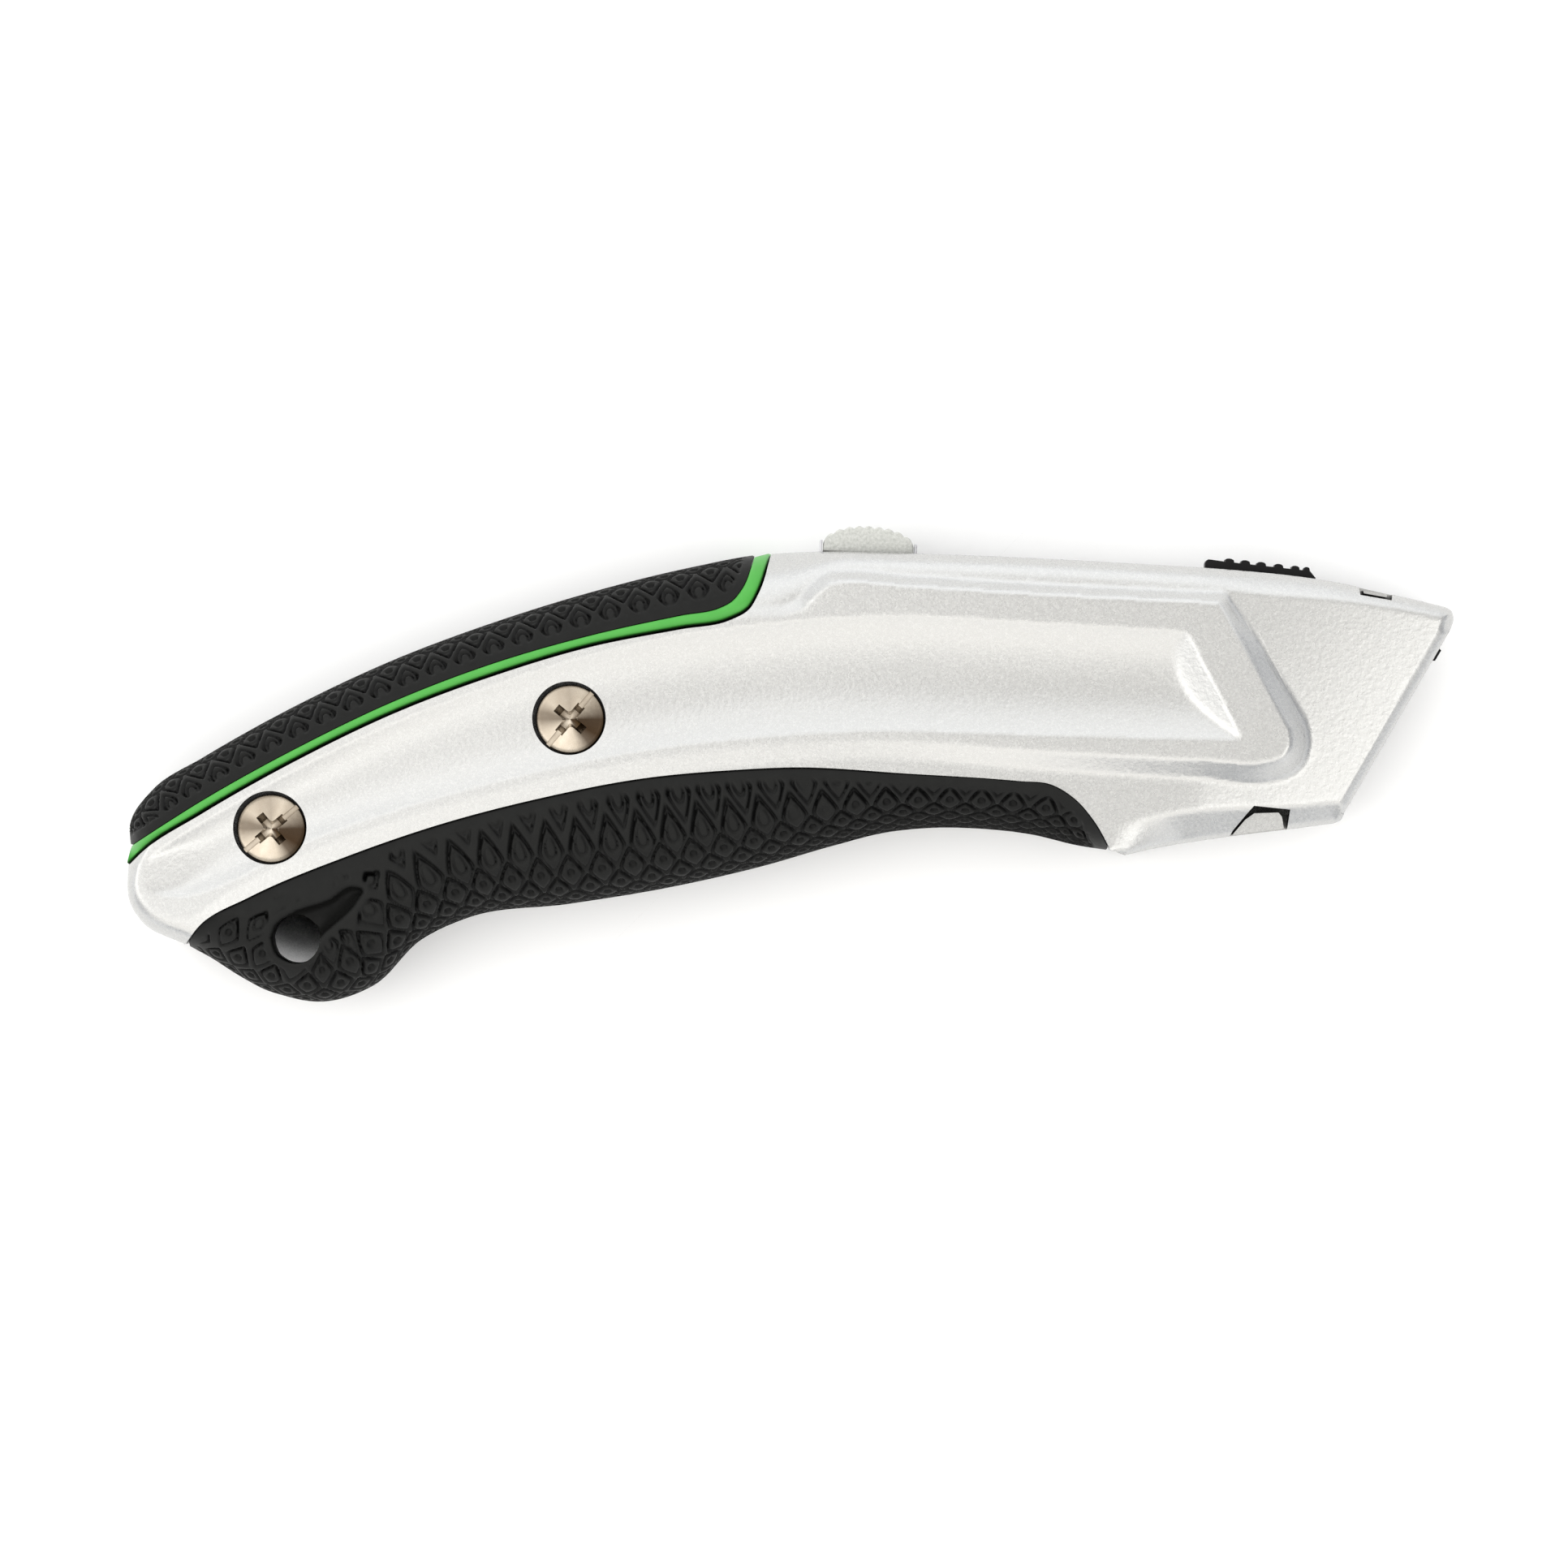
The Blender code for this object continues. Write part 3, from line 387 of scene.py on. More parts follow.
def metal_height(points):
    """A cast half: the panel stands up from the plain metal on a bevel, and the scoop is cut in it."""
    base = plain_height(points) - edge_fall(points)
    away = segment_distances(points, PANEL, closed=True)
    away = np.where(inside(points, PANEL), -away, away)
    part = away / (2.6 - 1.1 * ramp(points[:, 1], 14.0, 22.0))
    raised = 1.0 - soft_positive(part, 0.06) + soft_positive(part - 1.0, 0.08)
    return base + (HALF_WIDTH - base) * np.clip(raised, 0.0, 1.0) - scoop_depth(points)


def upper_height(points):
    """The upper grip and the trim, rounded over the spine and down at the tail."""
    ends = rounding(segment_distances(points, TAIL_TURN), 5.0, 4.0)
    return 10.7 - np.maximum(top_fall(points), ends)


def lower_height(points):
    """Rounded over the belly, and eased down to the metal at the grip's other edge."""
    surface = HALF_WIDTH - rounding(segment_distances(points, BELLY_EDGE), 9.5, 9.8)
    shoulder = 10.3 + 0.35 * segment_distances(points, EDGE_OF_GRIP)
    return soft_min(surface, shoulder, 0.3)


def core_height(points):
    """The cast core under the grips and the trim."""
    surface = np.minimum(upper_height(points), lower_height(points))
    return np.clip(surface - RUBBER - 0.3, 1.0, 7.8)


# Meshes.


def clear_runs(line, boundary, margin):
    """The stretches of a line that lie inside the boundary and clear of it."""
    line = np.asarray(line, float)
    good = inside(line, boundary)
    good &= segment_distances(line, boundary, closed=True) > margin
    runs, run = [], []
    for point, keep in zip(line, good, strict=True):
        if keep:
            run.append(point)
            continue
        runs.append(run)
        run = []
    runs.append(run)
    return [r for r in runs if len(r) > 1]


def triangulated(boundary, lines, step):
    """Plan points and triangles over the closed boundary, with edges along the lines."""
    points = [tuple(p) for p in boundary]
    edges = [(i, (i + 1) % len(points)) for i in range(len(points))]
    low, high = np.min(boundary, axis=0), np.max(boundary, axis=0)
    rows = np.arange(low[1], high[1], step * 0.87)
    grid = [
        (x, y)
        for k, y in enumerate(rows)
        for x in np.arange(low[0] + step * (k % 2) / 2, high[0], step)
    ]
    grid = np.array(grid)
    grid = grid[inside(grid, boundary)]
    far = segment_distances(grid, boundary, closed=True) > 0.5 * step
    for line in lines:
        far &= segment_distances(grid, line) > 0.45 * step
        for run in clear_runs(line, boundary, 0.1 * step):
            first = len(points)
            points += [tuple(p) for p in run]
            edges += [(first + i, first + i + 1) for i in range(len(run) - 1)]
    points += [tuple(p) for p in grid[far]]
    made = delaunay_2d_cdt([Vector(p) for p in points], edges, [], 1, 1e-5)
    return np.array([tuple(v) for v in made[0]]), [tuple(f) for f in made[2]]


def rim_of(faces):
    """The boundary of a set of triangles, as one loop of vertex numbers."""
    known = {(f[i], f[(i + 1) % 3]) for f in faces for i in range(3)}
    after = {a: b for a, b in known if (b, a) not in known}
    start = next(iter(after))
    loop = [start]
    while after[loop[-1]] != start:
        loop.append(after[loop[-1]])
    return loop


def new_object(name, points, faces, material=None):
    """A mesh object from points in millimetres over the parting plane."""
    mesh = bpy.data.meshes.new(name)
    mesh.from_pydata([(x * MM, y * MM, (z + HALF_WIDTH) * MM) for x, y, z in points], [], faces)
    build = bmesh.new()
    build.from_mesh(mesh)
    bmesh.ops.recalc_face_normals(build, faces=build.faces)
    if build.calc_volume(signed=True) < 0:
        bmesh.ops.reverse_faces(build, faces=build.faces)
    build.to_mesh(mesh)
    build.free()
    obj = bpy.data.objects.new(name, mesh)
    bpy.context.scene.collection.objects.link(obj)
    if material is not None:
        mesh.materials.append(material)
    return obj


def height_solid(name, boundary, side, top, bottom, lines=(), step=FINE_STEP, material=None):
    """A solid over a plan outline from a flat or shaped bottom to a height."""
    plan, faces = triangulated(boundary, lines, step)
    heights = side * top(plan)
    rim = rim_of(faces)
    upper = [(x, y, z) for (x, y), z in zip(plan, heights, strict=True)]
    count = len(upper)
    if callable(bottom):
        lower = [(x, y, side * z) for (x, y), z in zip(plan, bottom(plan), strict=True)]
        under = {i: count + i for i in range(count)}
        floor = [tuple(count + i for i in reversed(f)) for f in faces]
    else:
        lower = [(*plan[i], side * bottom) for i in rim]
        under = {i: count + k for k, i in enumerate(rim)}
        floor = [tuple(under[i] for i in reversed(rim))]
    walls = [
        (a, under[a], under[b], b) for a, b in zip(rim, rim[1:] + rim[:1], strict=True)
    ]
    return new_object(name, upper + lower, faces + floor + walls, material)


def boolean(obj, operation, *others):
    """Applies the cuts or joins, and removes the shapes that made them."""
    for other in others:
        step = obj.modifiers.new(other.name, "BOOLEAN")
        step.operation = operation
        step.solver = "MANIFOLD"
        step.object = other
    graph = bpy.context.evaluated_depsgraph_get()
    made = bpy.data.meshes.new_from_object(obj.evaluated_get(graph))
    obj.modifiers.clear()
    obj.data = made
    for other in others:
        bpy.data.objects.remove(other)
    return obj


def minus(obj, *others):
    """Cuts the other shapes out of the object."""
    return boolean(obj, "DIFFERENCE", *others)


def plus(obj, *others):
    """Joins the other shapes to the object."""
    return boolean(obj, "UNION", *others)


def shaded(obj, sharp=45.0):
    """Smooth shading with edges sharper than so many degrees kept."""
    obj.data.shade_smooth()
    obj.data.set_sharp_from_angle(angle=math.radians(sharp))
    return obj


def loft(name, rings, material=None):
    """A closed tube through rings of the same number of points, capped at both ends."""
    rings = np.asarray(rings, float)
    count, size = rings.shape[:2]
    step = np.arange(size)
    faces = []
    for k in range(count - 1):
        a, b = k * size, (k + 1) * size
        after = (step + 1) % size
        faces += list(zip(a + step, a + after, b + after, b + step, strict=True))
    faces = [tuple(int(i) for i in f) for f in faces]
    faces += [tuple(range(size - 1, -1, -1)), tuple(range((count - 1) * size, count * size))]
    return new_object(name, rings.reshape(-1, 3), faces, material)


def prism(name, outline, z0, z1):
    """A straight solid over a plan outline."""
    return loft(name, [[(x, y, z) for x, y in outline] for z in (z0, z1)])


# Materials.


class Shader:
    """A principled material with a few chained helpers for its procedural detail."""

    def __init__(self, name, slot, color, roughness, metallic=0.0):
        self.material = bpy.data.materials.new(name)
        self.material.use_nodes = True
        self.slot = slot
        self.tree = self.material.node_tree
        self.principled = self.tree.nodes["Principled BSDF"]
        self.place = self.node("ShaderNodeTexCoord").outputs["Object"]
        self.set("Base Color", (*color, 1.0))
        self.set("Roughness", roughness)
        self.set("Metallic", metallic)

    def node(self, kind, **settings):
        """A new node of this kind."""
        made = self.tree.nodes.new(kind)
        for key, value in settings.items():
            setattr(made, key, value)
        return made

    def set(self, socket, value):
        """Gives one of the material's own sockets a value."""
        self.principled.inputs[socket].default_value = value

    def link(self, output, node, socket):
        """Joins an output to a node's socket."""
        self.tree.links.new(output, node.inputs[socket])

    def noise(self, size, detail=3.0, roughness=0.55, stretch=None):
        """Noise whose features are so many millimetres across."""
        made = self.node("ShaderNodeTexNoise")
        made.inputs["Scale"].default_value = 1.0 / (size * MM)
        made.inputs["Detail"].default_value = detail
        made.inputs["Roughness"].default_value = roughness
        place = self.place
        if stretch is not None:
            mapping = self.node("ShaderNodeMapping")
            mapping.inputs["Scale"].default_value = stretch
            self.link(place, mapping, "Vector")
            place = mapping.outputs["Vector"]
        self.link(place, made, "Vector")
        return made.outputs["Fac"]

    def cells(self, size):
        """A random number for each of many cells, so many millimetres across."""
        made = self.node("ShaderNodeTexVoronoi")
        made.inputs["Scale"].default_value = 1.0 / (size * MM)
        self.link(self.place, made, "Vector")
        split = self.node("ShaderNodeSeparateColor")
        self.link(made.outputs["Color"], split, "Color")
        return split.outputs["Red"]

    def ranged(self, fac, low, high, start=0.3, end=0.7):
        """The value moved from start to end onto low to high."""
        made = self.node("ShaderNodeMapRange")
        for key, value in zip(("From Min", "From Max", "To Min", "To Max"), (start, end, low, high)):
            made.inputs[key].default_value = value
        self.link(fac, made, "Value")
        return made.outputs["Result"]

    def blend_colors(self, fac, first, second):
        """Two colours, or outputs of colour, mixed by the factor."""
        made = self.node("ShaderNodeMix", data_type="RGBA")
        self.link(fac, made, "Factor")
        for socket, value in ((6, first), (7, second)):
            if isinstance(value, tuple):
                made.inputs[socket].default_value = (*value, 1.0)
            else:
                self.tree.links.new(value, made.inputs[socket])
        return made.outputs[2]

    def shadowed(self, color, reach, floor, open_at, dark=(0.004, 0.004, 0.004)):
        """The colour with painted shade: darker where the surface is closed in within so many
        millimetres.
        """
        closed = self.node("ShaderNodeAmbientOcclusion", samples=8)
        closed.inputs["Distance"].default_value = reach * MM
        share = self.ranged(closed.outputs["AO"], 0.0, 1.0, floor, open_at)
        return self.blend_colors(share, dark, color)

    def use(self, output, socket):
        """Feeds one of the material's own sockets."""
        self.link(output, self.principled, socket)

    def bumps(self, *layers):
        """Bump from (height, strength, millimetres) layers, each over the one before."""
        before = None
        for height, strength, depth in layers:
            made = self.node("ShaderNodeBump")
            made.inputs["Strength"].default_value = strength
            made.inputs["Distance"].default_value = depth * MM
            self.link(height, made, "Height")
            if before is not None:
                self.link(before, made, "Normal")
            before = made.outputs["Normal"]
        self.use(before, "Normal")


def silver_paint():
    """Fine metallic paint over a cast surface."""
    s = Shader("silver_paint_visual", "silver_paint", (0.48, 0.48, 0.47), 0.3, 0.88)
    flakes = s.cells(0.16)
    cloud = s.noise(0.55, 4.0)
    sparkle = s.ranged(flakes, 0.0, 1.0, 0.5, 1.0)
    bright = s.blend_colors(sparkle, (0.475, 0.475, 0.47), (0.54, 0.54, 0.53))
    paint = s.blend_colors(s.ranged(cloud, 0.0, 0.4), bright, (0.44, 0.44, 0.43))
    # painted shade: the paint is darkened where it is closed in, as in the screw bores, the trim's gap
    # and the notches
    s.use(s.shadowed(paint, 6.0, 0.1, 0.42), "Base Color")
    s.use(s.ranged(flakes, 0.26, 0.34, 0.0, 1.0), "Roughness")
    s.bumps((s.noise(0.62, 2.0), 0.85, 0.045), (flakes, 0.08, 0.006))
    return s


def black_rubber():
    """Moulded rubber, with painted shade down in its grooves."""
    s = Shader("black_rubber_visual", "black_rubber", (0.012, 0.012, 0.012), 0.5)
    s.set("Specular IOR Level", 0.09)
    patches = s.blend_colors(s.noise(1.6, 5.0), (0.0085, 0.0085, 0.0082), (0.0135, 0.0138, 0.013))
    s.use(s.shadowed(patches, 1.3, 0.48, 0.88), "Base Color")
    s.use(s.ranged(s.noise(0.9, 4.0), 0.40, 0.52), "Roughness")
    s.bumps((s.noise(0.18, 3.0), 0.25, 0.012))
    return s


def green_trim():
    """Bright green satin plastic."""
    s = Shader("green_trim_visual", "green_trim", (0.035, 0.33, 0.045), 0.38)
    s.set("Specular IOR Level", 0.3)
    paint = s.blend_colors(s.noise(3.0, 4.0), (0.052, 0.30, 0.042), (0.07, 0.36, 0.055))
    # painted shade: the green is darkened where it is closed in, along the gap beside the metal
    s.use(s.shadowed(paint, 0.8, 0.2, 0.7), "Base Color")
    s.use(s.ranged(s.noise(0.6, 4.0), 0.33, 0.43), "Roughness")
    s.bumps((s.noise(0.25, 3.0), 0.15, 0.01))
    return s


PAINTED_FAN_LEVELS = [  # degrees round a screw head, and how bright the painted reflection on its turned face is there
    (-180, 0.2), (-150, 0.7), (-112, 1.0), (-78, 0.85), (-52, 0.1), (-30, 0.0), (0, 0.02),
    (12, 0.2), (40, 0.6), (65, 0.8), (90, 0.5), (140, 0.65), (165, 0.22), (180, 0.2),
]


def screw_nickel():
    """Turned nickel plate, with painted reflections: fans of light and dark round the head as its fine
    rings would draw the light, and painted shade in its slot and cross.
    """
    s = Shader("screw_nickel_visual", "screw_nickel", (0.5, 0.44, 0.36), 0.24, 1.0)
    round_about = s.node("ShaderNodeTexGradient", gradient_type="RADIAL")
    s.link(s.place, round_about, "Vector")
    painted_fan = s.node("ShaderNodeValToRGB")
    s.link(round_about.outputs["Fac"], painted_fan, "Fac")
    stops = painted_fan.color_ramp.elements
    for degrees, level in PAINTED_FAN_LEVELS[1:-1]:
        stops.new(0.5 + degrees / 360.0).color = (level, level, level, 1.0)
    for end, (_, level) in ((0, PAINTED_FAN_LEVELS[0]), (-1, PAINTED_FAN_LEVELS[-1])):
        stops[end].color = (level, level, level, 1.0)
    plate = s.blend_colors(s.noise(1.1, 5.0), (0.54, 0.46, 0.36), (0.70, 0.63, 0.53))
    # painted reflection: the fans of light and dark are painted into the base colour by angle round
    # the head
    face_with_painted_fans = s.blend_colors(painted_fan.outputs["Color"], (0.045, 0.028, 0.016), plate)
    # painted shade, brownish, where the head is closed in: slot, cross and rim
    s.use(s.shadowed(face_with_painted_fans, 1.0, 0.15, 0.7, (0.06, 0.035, 0.012)), "Base Color")
    s.use(s.ranged(s.noise(0.5, 4.0), 0.17, 0.30), "Roughness")
    s.bumps((s.noise(0.12, 3.0), 0.12, 0.008))
    return s


def ground_steel(name, slot, color, roughness):
    """Steel with fine grinding lines along its length."""
    s = Shader(name, slot, color, roughness, 1.0)
    lines = s.noise(0.5, 4.0, stretch=(0.05, 1.0, 1.0))
    darker = tuple(c * 0.82 for c in color)
    s.use(s.blend_colors(lines, darker, color), "Base Color")
    s.use(s.ranged(lines, roughness - 0.06, roughness + 0.08), "Roughness")
    s.bumps((lines, 0.2, 0.008))
    return s


def knob_grey():
    """Light grey with a coarse sand texture."""
    s = Shader("knob_grey_visual", "knob_grey", (0.55, 0.57, 0.53), 0.6)
    s.set("Specular IOR Level", 0.3)
    sand = s.noise(0.42, 4.0, 0.65)
    grains = s.blend_colors(s.ranged(sand, 0.0, 1.0), (0.38, 0.385, 0.36), (0.58, 0.585, 0.555))
    # painted shade: the grey is darkened where it is closed in, between the ridges and in the slits
    s.use(s.shadowed(grains, 0.8, 0.1, 0.5), "Base Color")
    s.use(s.ranged(sand, 0.68, 0.5), "Roughness")
    s.bumps((sand, 0.6, 0.07), (s.noise(0.15, 3.0), 0.25, 0.02))
    return s


def black_plastic():
    """Moulded black plastic with a fine texture."""
    s = Shader("black_plastic_visual", "black_plastic", (0.006, 0.006, 0.006), 0.45)
    s.set("Specular IOR Level", 0.1)
    moulded = s.blend_colors(s.noise(0.8, 5.0), (0.005, 0.005, 0.0055), (0.010, 0.0095, 0.0095))
    # painted shade: darker where the surface is closed in, between the ribs and in the recess
    s.use(s.shadowed(moulded, 0.8, 0.2, 0.7), "Base Color")
    s.use(s.ranged(s.noise(0.4, 4.0), 0.38, 0.52), "Roughness")
    s.bumps((s.noise(0.2, 3.0), 0.2, 0.012))
    return s


def all_shaders():
    """A material for each of the record's slots."""
    steel = (0.62, 0.63, 0.65)
    made = [
        silver_paint(), black_rubber(), green_trim(), screw_nickel(), knob_grey(), black_plastic(),
        ground_steel("blade_steel_visual", "blade_steel", steel, 0.26),
        ground_steel("spring_steel_visual", "spring_steel", (0.5, 0.5, 0.52), 0.3),
    ]
    return {s.slot: s.material for s in made}


def dress_cad_nodes(materials):
    """Gives every CAD node the procedural material of its own slot."""
    for part in frame["record"]["subparts"]:
        mesh = frame["nodes"][part["node"]].data
        mesh.materials.clear()
        mesh.materials.append(materials[part["material_slot"]])


def settle(obj, body, slot, *nodes):
    """Says what the piece rides on and the CAD nodes that it stands for; the slot argument, its
    finish, is not used.
    """
    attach(obj, body)
    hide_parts(*nodes)


# Cast halves.


def edge_lines():
    """Lines close along the rounded edges, and along the creases of the panel and its scoop."""
    lines = [moved_in(METAL, d) for d in (0.1, 0.22, 0.4)]
    lines += [inset(OUTLINE, d) for d in (0.65, 1.0, 1.5, 2.2, 3.0)]
    lines += [PANEL, moved_in(PANEL, -2.4), HIGH_SCOOP[HIGH_SCOOP[:, 0] < 51.5]]
    lines += [LOW_SCOOP[LOW_SCOOP[:, 0] < 58.6], smooth_path(SCOOP_END)]
    return lines


def core_solid(name, side):
    """The cast core that the grips wrap."""
    outline = inset(OUTLINE, RUBBER)
    rear, front = CORE_REACH
    outline = outline[(outline[:, 0] > rear) & (outline[:, 0] < front)]
    outline = thinned(outline, 0.05, closed=True)
    return height_solid(name, outline, side, core_height, HALF_GAP, step=4.0)


def shell_hollows(side):
    """The cutters for the hollows, slots and holes that both halves share."""
    carriage = [(-24.4, -0.6), (47.5, -0.6), (47.5, 25.1), (3.0, 25.1), (-9.3, 21.5)]
    spares = [(-34.5, -1.5), (-34.5, 15.0), (-48.0, 10.5), (-61.5, 4.0), (-62.9, -9.6), (-50.0, -5.5)]
    button = [(49.5, 20.2), (49.5, 24.85), (54.3, 24.85), (54.3, 29.0), (69.6, 29.0), (69.6, 20.2)]
    blade = track_box(10.9, 100.0, -2.2, 17.6)
    guide = track_box(61.7, 100.0, 17.45, 19.9)
    deep = [
        (track(carriage), CAVITY), (spares, CAVITY), (blade, 0.65), (guide, 1.8),
        (track_box(*SLOT_U, 24.0, 31.0), SLOT_HALF), (button, BUTTON_HALF + 0.4),
        (circle(PIN, *PIN_BORE), 5.8),
    ]
    return [prism("cut", line, -side, side * z) for line, z in deep]


def teardrop_line(grow):
    """The outline of the recess round the lanyard hole, made bigger by so much."""
    line = thinned(smooth_path(TEARDROP + TEARDROP[:1], 0.3)[:-1], 0.01, closed=True)
    centre = line.mean(axis=0)
    size = np.hypot(*(line - centre).T)[:, None]
    return line + (line - centre) / size * grow


def make_shells(metal):
    """Both cast halves, hollowed out. The left half's lugs show in the right half's notches."""
    halves = {}
    for word, side in (("right", 1), ("left", -1)):
        outline = moved_in(METAL, SEAM)
        half = height_solid(f"{word}_cast_half", outline, side, metal_height, HALF_GAP, edge_lines(),
                            material=metal)
        plus(half, core_solid("core", side))
        void = prism("cut", teardrop_line(1.2), -side, side * OUTSIDE)
        halves[word] = minus(half, void, *shell_hollows(side))
    right, left = halves["right"], halves["left"]
    for centre in SCREWS:
        bore = prism("cut", circle(centre, BORE_R), SEAT_Z, OUTSIDE)
        minus(right, bore, prism("cut", circle(centre, SHANK_BORE_R), -1.0, OUTSIDE))
        minus(left, prism("cut", circle(centre, SHANK_BORE_R), -7.5, 1.0))
    for notch in (HEEL_NOTCH, TOP_NOTCH):
        minus(right, prism("cut", notch, -1.0, OUTSIDE))
    plus(left, prism("lug", HEEL_LUG, -3.0, 5.6), prism("lug", TOP_LUG, -3.0, 4.6))
    minus(left, prism("cut", track_box(46.9, 66.5, 2.4, 17.55), -3.6, 1.0))
    for word, half in halves.items():
        settle(shaded(half), "handle", "silver_paint", f"{word}_body_shell")


# Grips.


def quarter_arc(distance, reach, fall):
    """Arc length of a quarter ellipse from its outer end to this distance in, and on beyond it."""
    turn = np.linspace(0.0, math.pi / 2, 200)
    depth = reach * (1.0 - np.cos(turn))
    pace = np.hypot(reach * np.sin(turn), fall * np.cos(turn))
    steps = (pace[1:] + pace[:-1]) / 2 * np.diff(turn)
    length = np.concatenate([[0.0], np.cumsum(steps)])
    return np.interp(distance, depth, length) + np.maximum(distance - reach, 0.0)


def even_path(line, count, first, last):
    """Points evenly spaced by length between two shares of the line."""
    along = run_lengths(line)
    at = np.linspace(first, last, count) * along[-1]
    return np.stack([np.interp(at, along, line[:, k]) for k in range(2)], axis=1)


def surface_rate(field, grid):
    """How fast a field changes over the surface, per millimetre."""
    rates = []
    for axis in (0, 1):
        step = np.linalg.norm(np.gradient(grid, axis=axis), axis=2)
        rates.append(np.gradient(field, axis=axis) / np.maximum(step, 0.02))
    return np.hypot(*rates)


def bump(value, width):
    """1 where the value is zero, and down to nothing over the width."""
    return np.exp(-((value / width) ** 2))


def diamonds(p, q, grid, ringed, last_row, last_size):
    """Depth of the pattern where p counts pitches along the handle and q rows across it.

    Each diamond has a groove round it, deeper towards the metal, and a dimple or, where ringed, a ring
    in its middle. Those of the last row are open at their far end.
    """
    across = 2.0 * surface_rate(p, grid)
    slope = np.maximum(np.hypot(across, surface_rate(q, grid)), 1e-3)
    stretch = np.clip(2.0 / PITCH / np.maximum(across, 0.01), 1.0, 2.2)
    depth = np.zeros_like(p)
    for odd in (0, 1):
        row = odd + 2 * np.round((q - odd) / 2)
        open_end = row >= last_row
        dq = q - row - 0.12 * open_end
        dp = (p - odd / 2 - np.round(p - odd / 2)) * stretch
        size = np.where(open_end, last_size, 0.8)
        m = (np.abs(dq) ** 1.15 + np.abs(2 * dp) ** 1.15) ** (1 / 1.15)
        lean = ramp(dq, -0.35, 0.35)
        cut = (0.3 + 0.36 * lean) * bump((m - size) / slope + 0.07 * lean, 0.14 + 0.08 * lean)
        slant = 0.14 * ramp(size - m, 0.0, 0.1) * (0.3 + 0.7 * lean)
        eye = np.hypot(dp / 0.14, (dq - 0.04) / 0.24)
        dimple = 0.42 * (1.0 - ramp(eye, 0.55, 1.15))
        oval = np.hypot(dp / 0.17, (dq - 0.1) / 0.33)
        ring = 0.3 * bump((oval - 1.0) * 0.62, 0.13)
        cell = cut + slant + ringed * ring + (1.0 - ringed) * dimple
        cell *= 1.0 + 0.35 * open_end
        depth = np.where(np.abs(dq) + 2 * np.abs(dp) <= 1.0, np.maximum(depth, cell), depth)
    return depth


def displaced(grid, depth):
    """The grid of points pushed in along its own normals."""
    along = np.gradient(grid, axis=0)
    across = np.gradient(grid, axis=1)
    normal = np.cross(along, across)
    normal /= np.maximum(np.linalg.norm(normal, axis=2), 1e-9)[:, :, None]
    middle = grid[len(grid) // 2, grid.shape[1] // 2]
    outward = normal[len(grid) // 2, grid.shape[1] // 2, 2] * np.sign(middle[2])
    return grid - normal * math.copysign(1.0, outward) * depth[:, :, None]


def grip_grid(outer, inner, reach, fall, wall, count, across):
    """Plan points and heights over a strip, evenly spaced round its curve from the parting plane."""
    length = np.hypot(*(inner - outer).T)
    total = wall + quarter_arc(length, reach, fall)
    share = np.linspace(0.0, 1.0, across)
    scale = np.linspace(0.0, 30.0, 600)
    arcs = quarter_arc(scale, reach, fall)
    plan = np.zeros((count, across, 2))
    lift = np.zeros((count, across))
    for i in range(count):
        at = share * total[i]
        inwards = np.interp(at - wall, arcs, scale)
        plan[i] = outer[i] + (inner[i] - outer[i]) * (inwards / max(length[i], 1e-6))[:, None]
        lift[i] = np.minimum(at, wall)
    return plan, lift


LOWER_FORM = (9.5, 9.8, 1.2)  # reach and fall of the rounding, and the flat wall under it
UPPER_FORM = (7.5, 9.4, 1.3)
LOWER_GRID = (830, 110)  # points along the handle and across the grip
UPPER_GRID = (720, 76)
UPPER_ROWS = [-0.8, 0.9, 2.5, 4.1, 6.1, 9.3, 13.0]  # arc from the parting line to each row
UPPER_PHASE = float(nearest(np.array([(-60.4, 8.89)]), TOP_EDGE)[1][0])  # where its count starts

# The lower grip's rows from the parting line to the row of tall diamonds, as shares of the way there,
# at the middle of the handle and towards its front.
MID_ROWS = [-0.12, 0.0, 0.12, 0.24, 0.38, 0.53, 0.752, 1.0]
FRONT_ROWS = [0.113, 0.225, 0.328, 0.44, 0.551, 0.68, 0.8135, 1.0]
FIRST_ROW, TALL = 1, 8
TALL_ROW = [  # where the tall diamonds are, and how many pitches along
    (-62.0, -24.3, -11), (-55.0, -19.7, -9), (-51.3, -17.3, -8), (-43.4, -13.9, -6),
    (-35.6, -12.2, -4), (-27.6, -11.3, -2), (-19.5, -10.25, 0), (-11.5, -9.1, 2), (12.6, -5.3, 8),
    (20.9, -5.0, 10), (29.2, -5.5, 12), (33.5, -6.1, 13), (37.2, -7.6, 14), (40.0, -10.2, 15),
]
TAIL_COUNTS = [(-43.4, -13.9, -6), (-51.3, -17.3, -8), (-55.0, -19.7, -9), (-78.6, -24.2, -15)]
TALL_ARC = 14.0  # round from the parting line to that row, at the tail
TAIL_BLEND = (-56.0, -49.0)  # the X over which the tail's lattice gives way to the handle's


def evened(field):
    """The field with small jumps along the handle smoothed out."""
    for _ in range(2):
        field[1:-1] = (field[:-2] + 2.0 * field[1:-1] + field[2:]) / 4.0
    return field


def tail_lattice(flat, arc, rise):
    """Pitches and rows round the tail, where they follow the belly's edge."""
    line = smooth_path(BELLY, 0.12)
    line = line[line[:, 0] < -38.0]
    knots = np.array(TAIL_COUNTS, float)
    p = np.interp(nearest(flat, line)[1], nearest(knots[:, :2], line)[1], knots[:, 2])
    rows = np.arange(FIRST_ROW, TALL + 1)
    q = np.interp(arc, np.array(MID_ROWS) * TALL_ARC, rows)
    return p, q + np.maximum(arc - TALL_ARC, 0.0) / rise


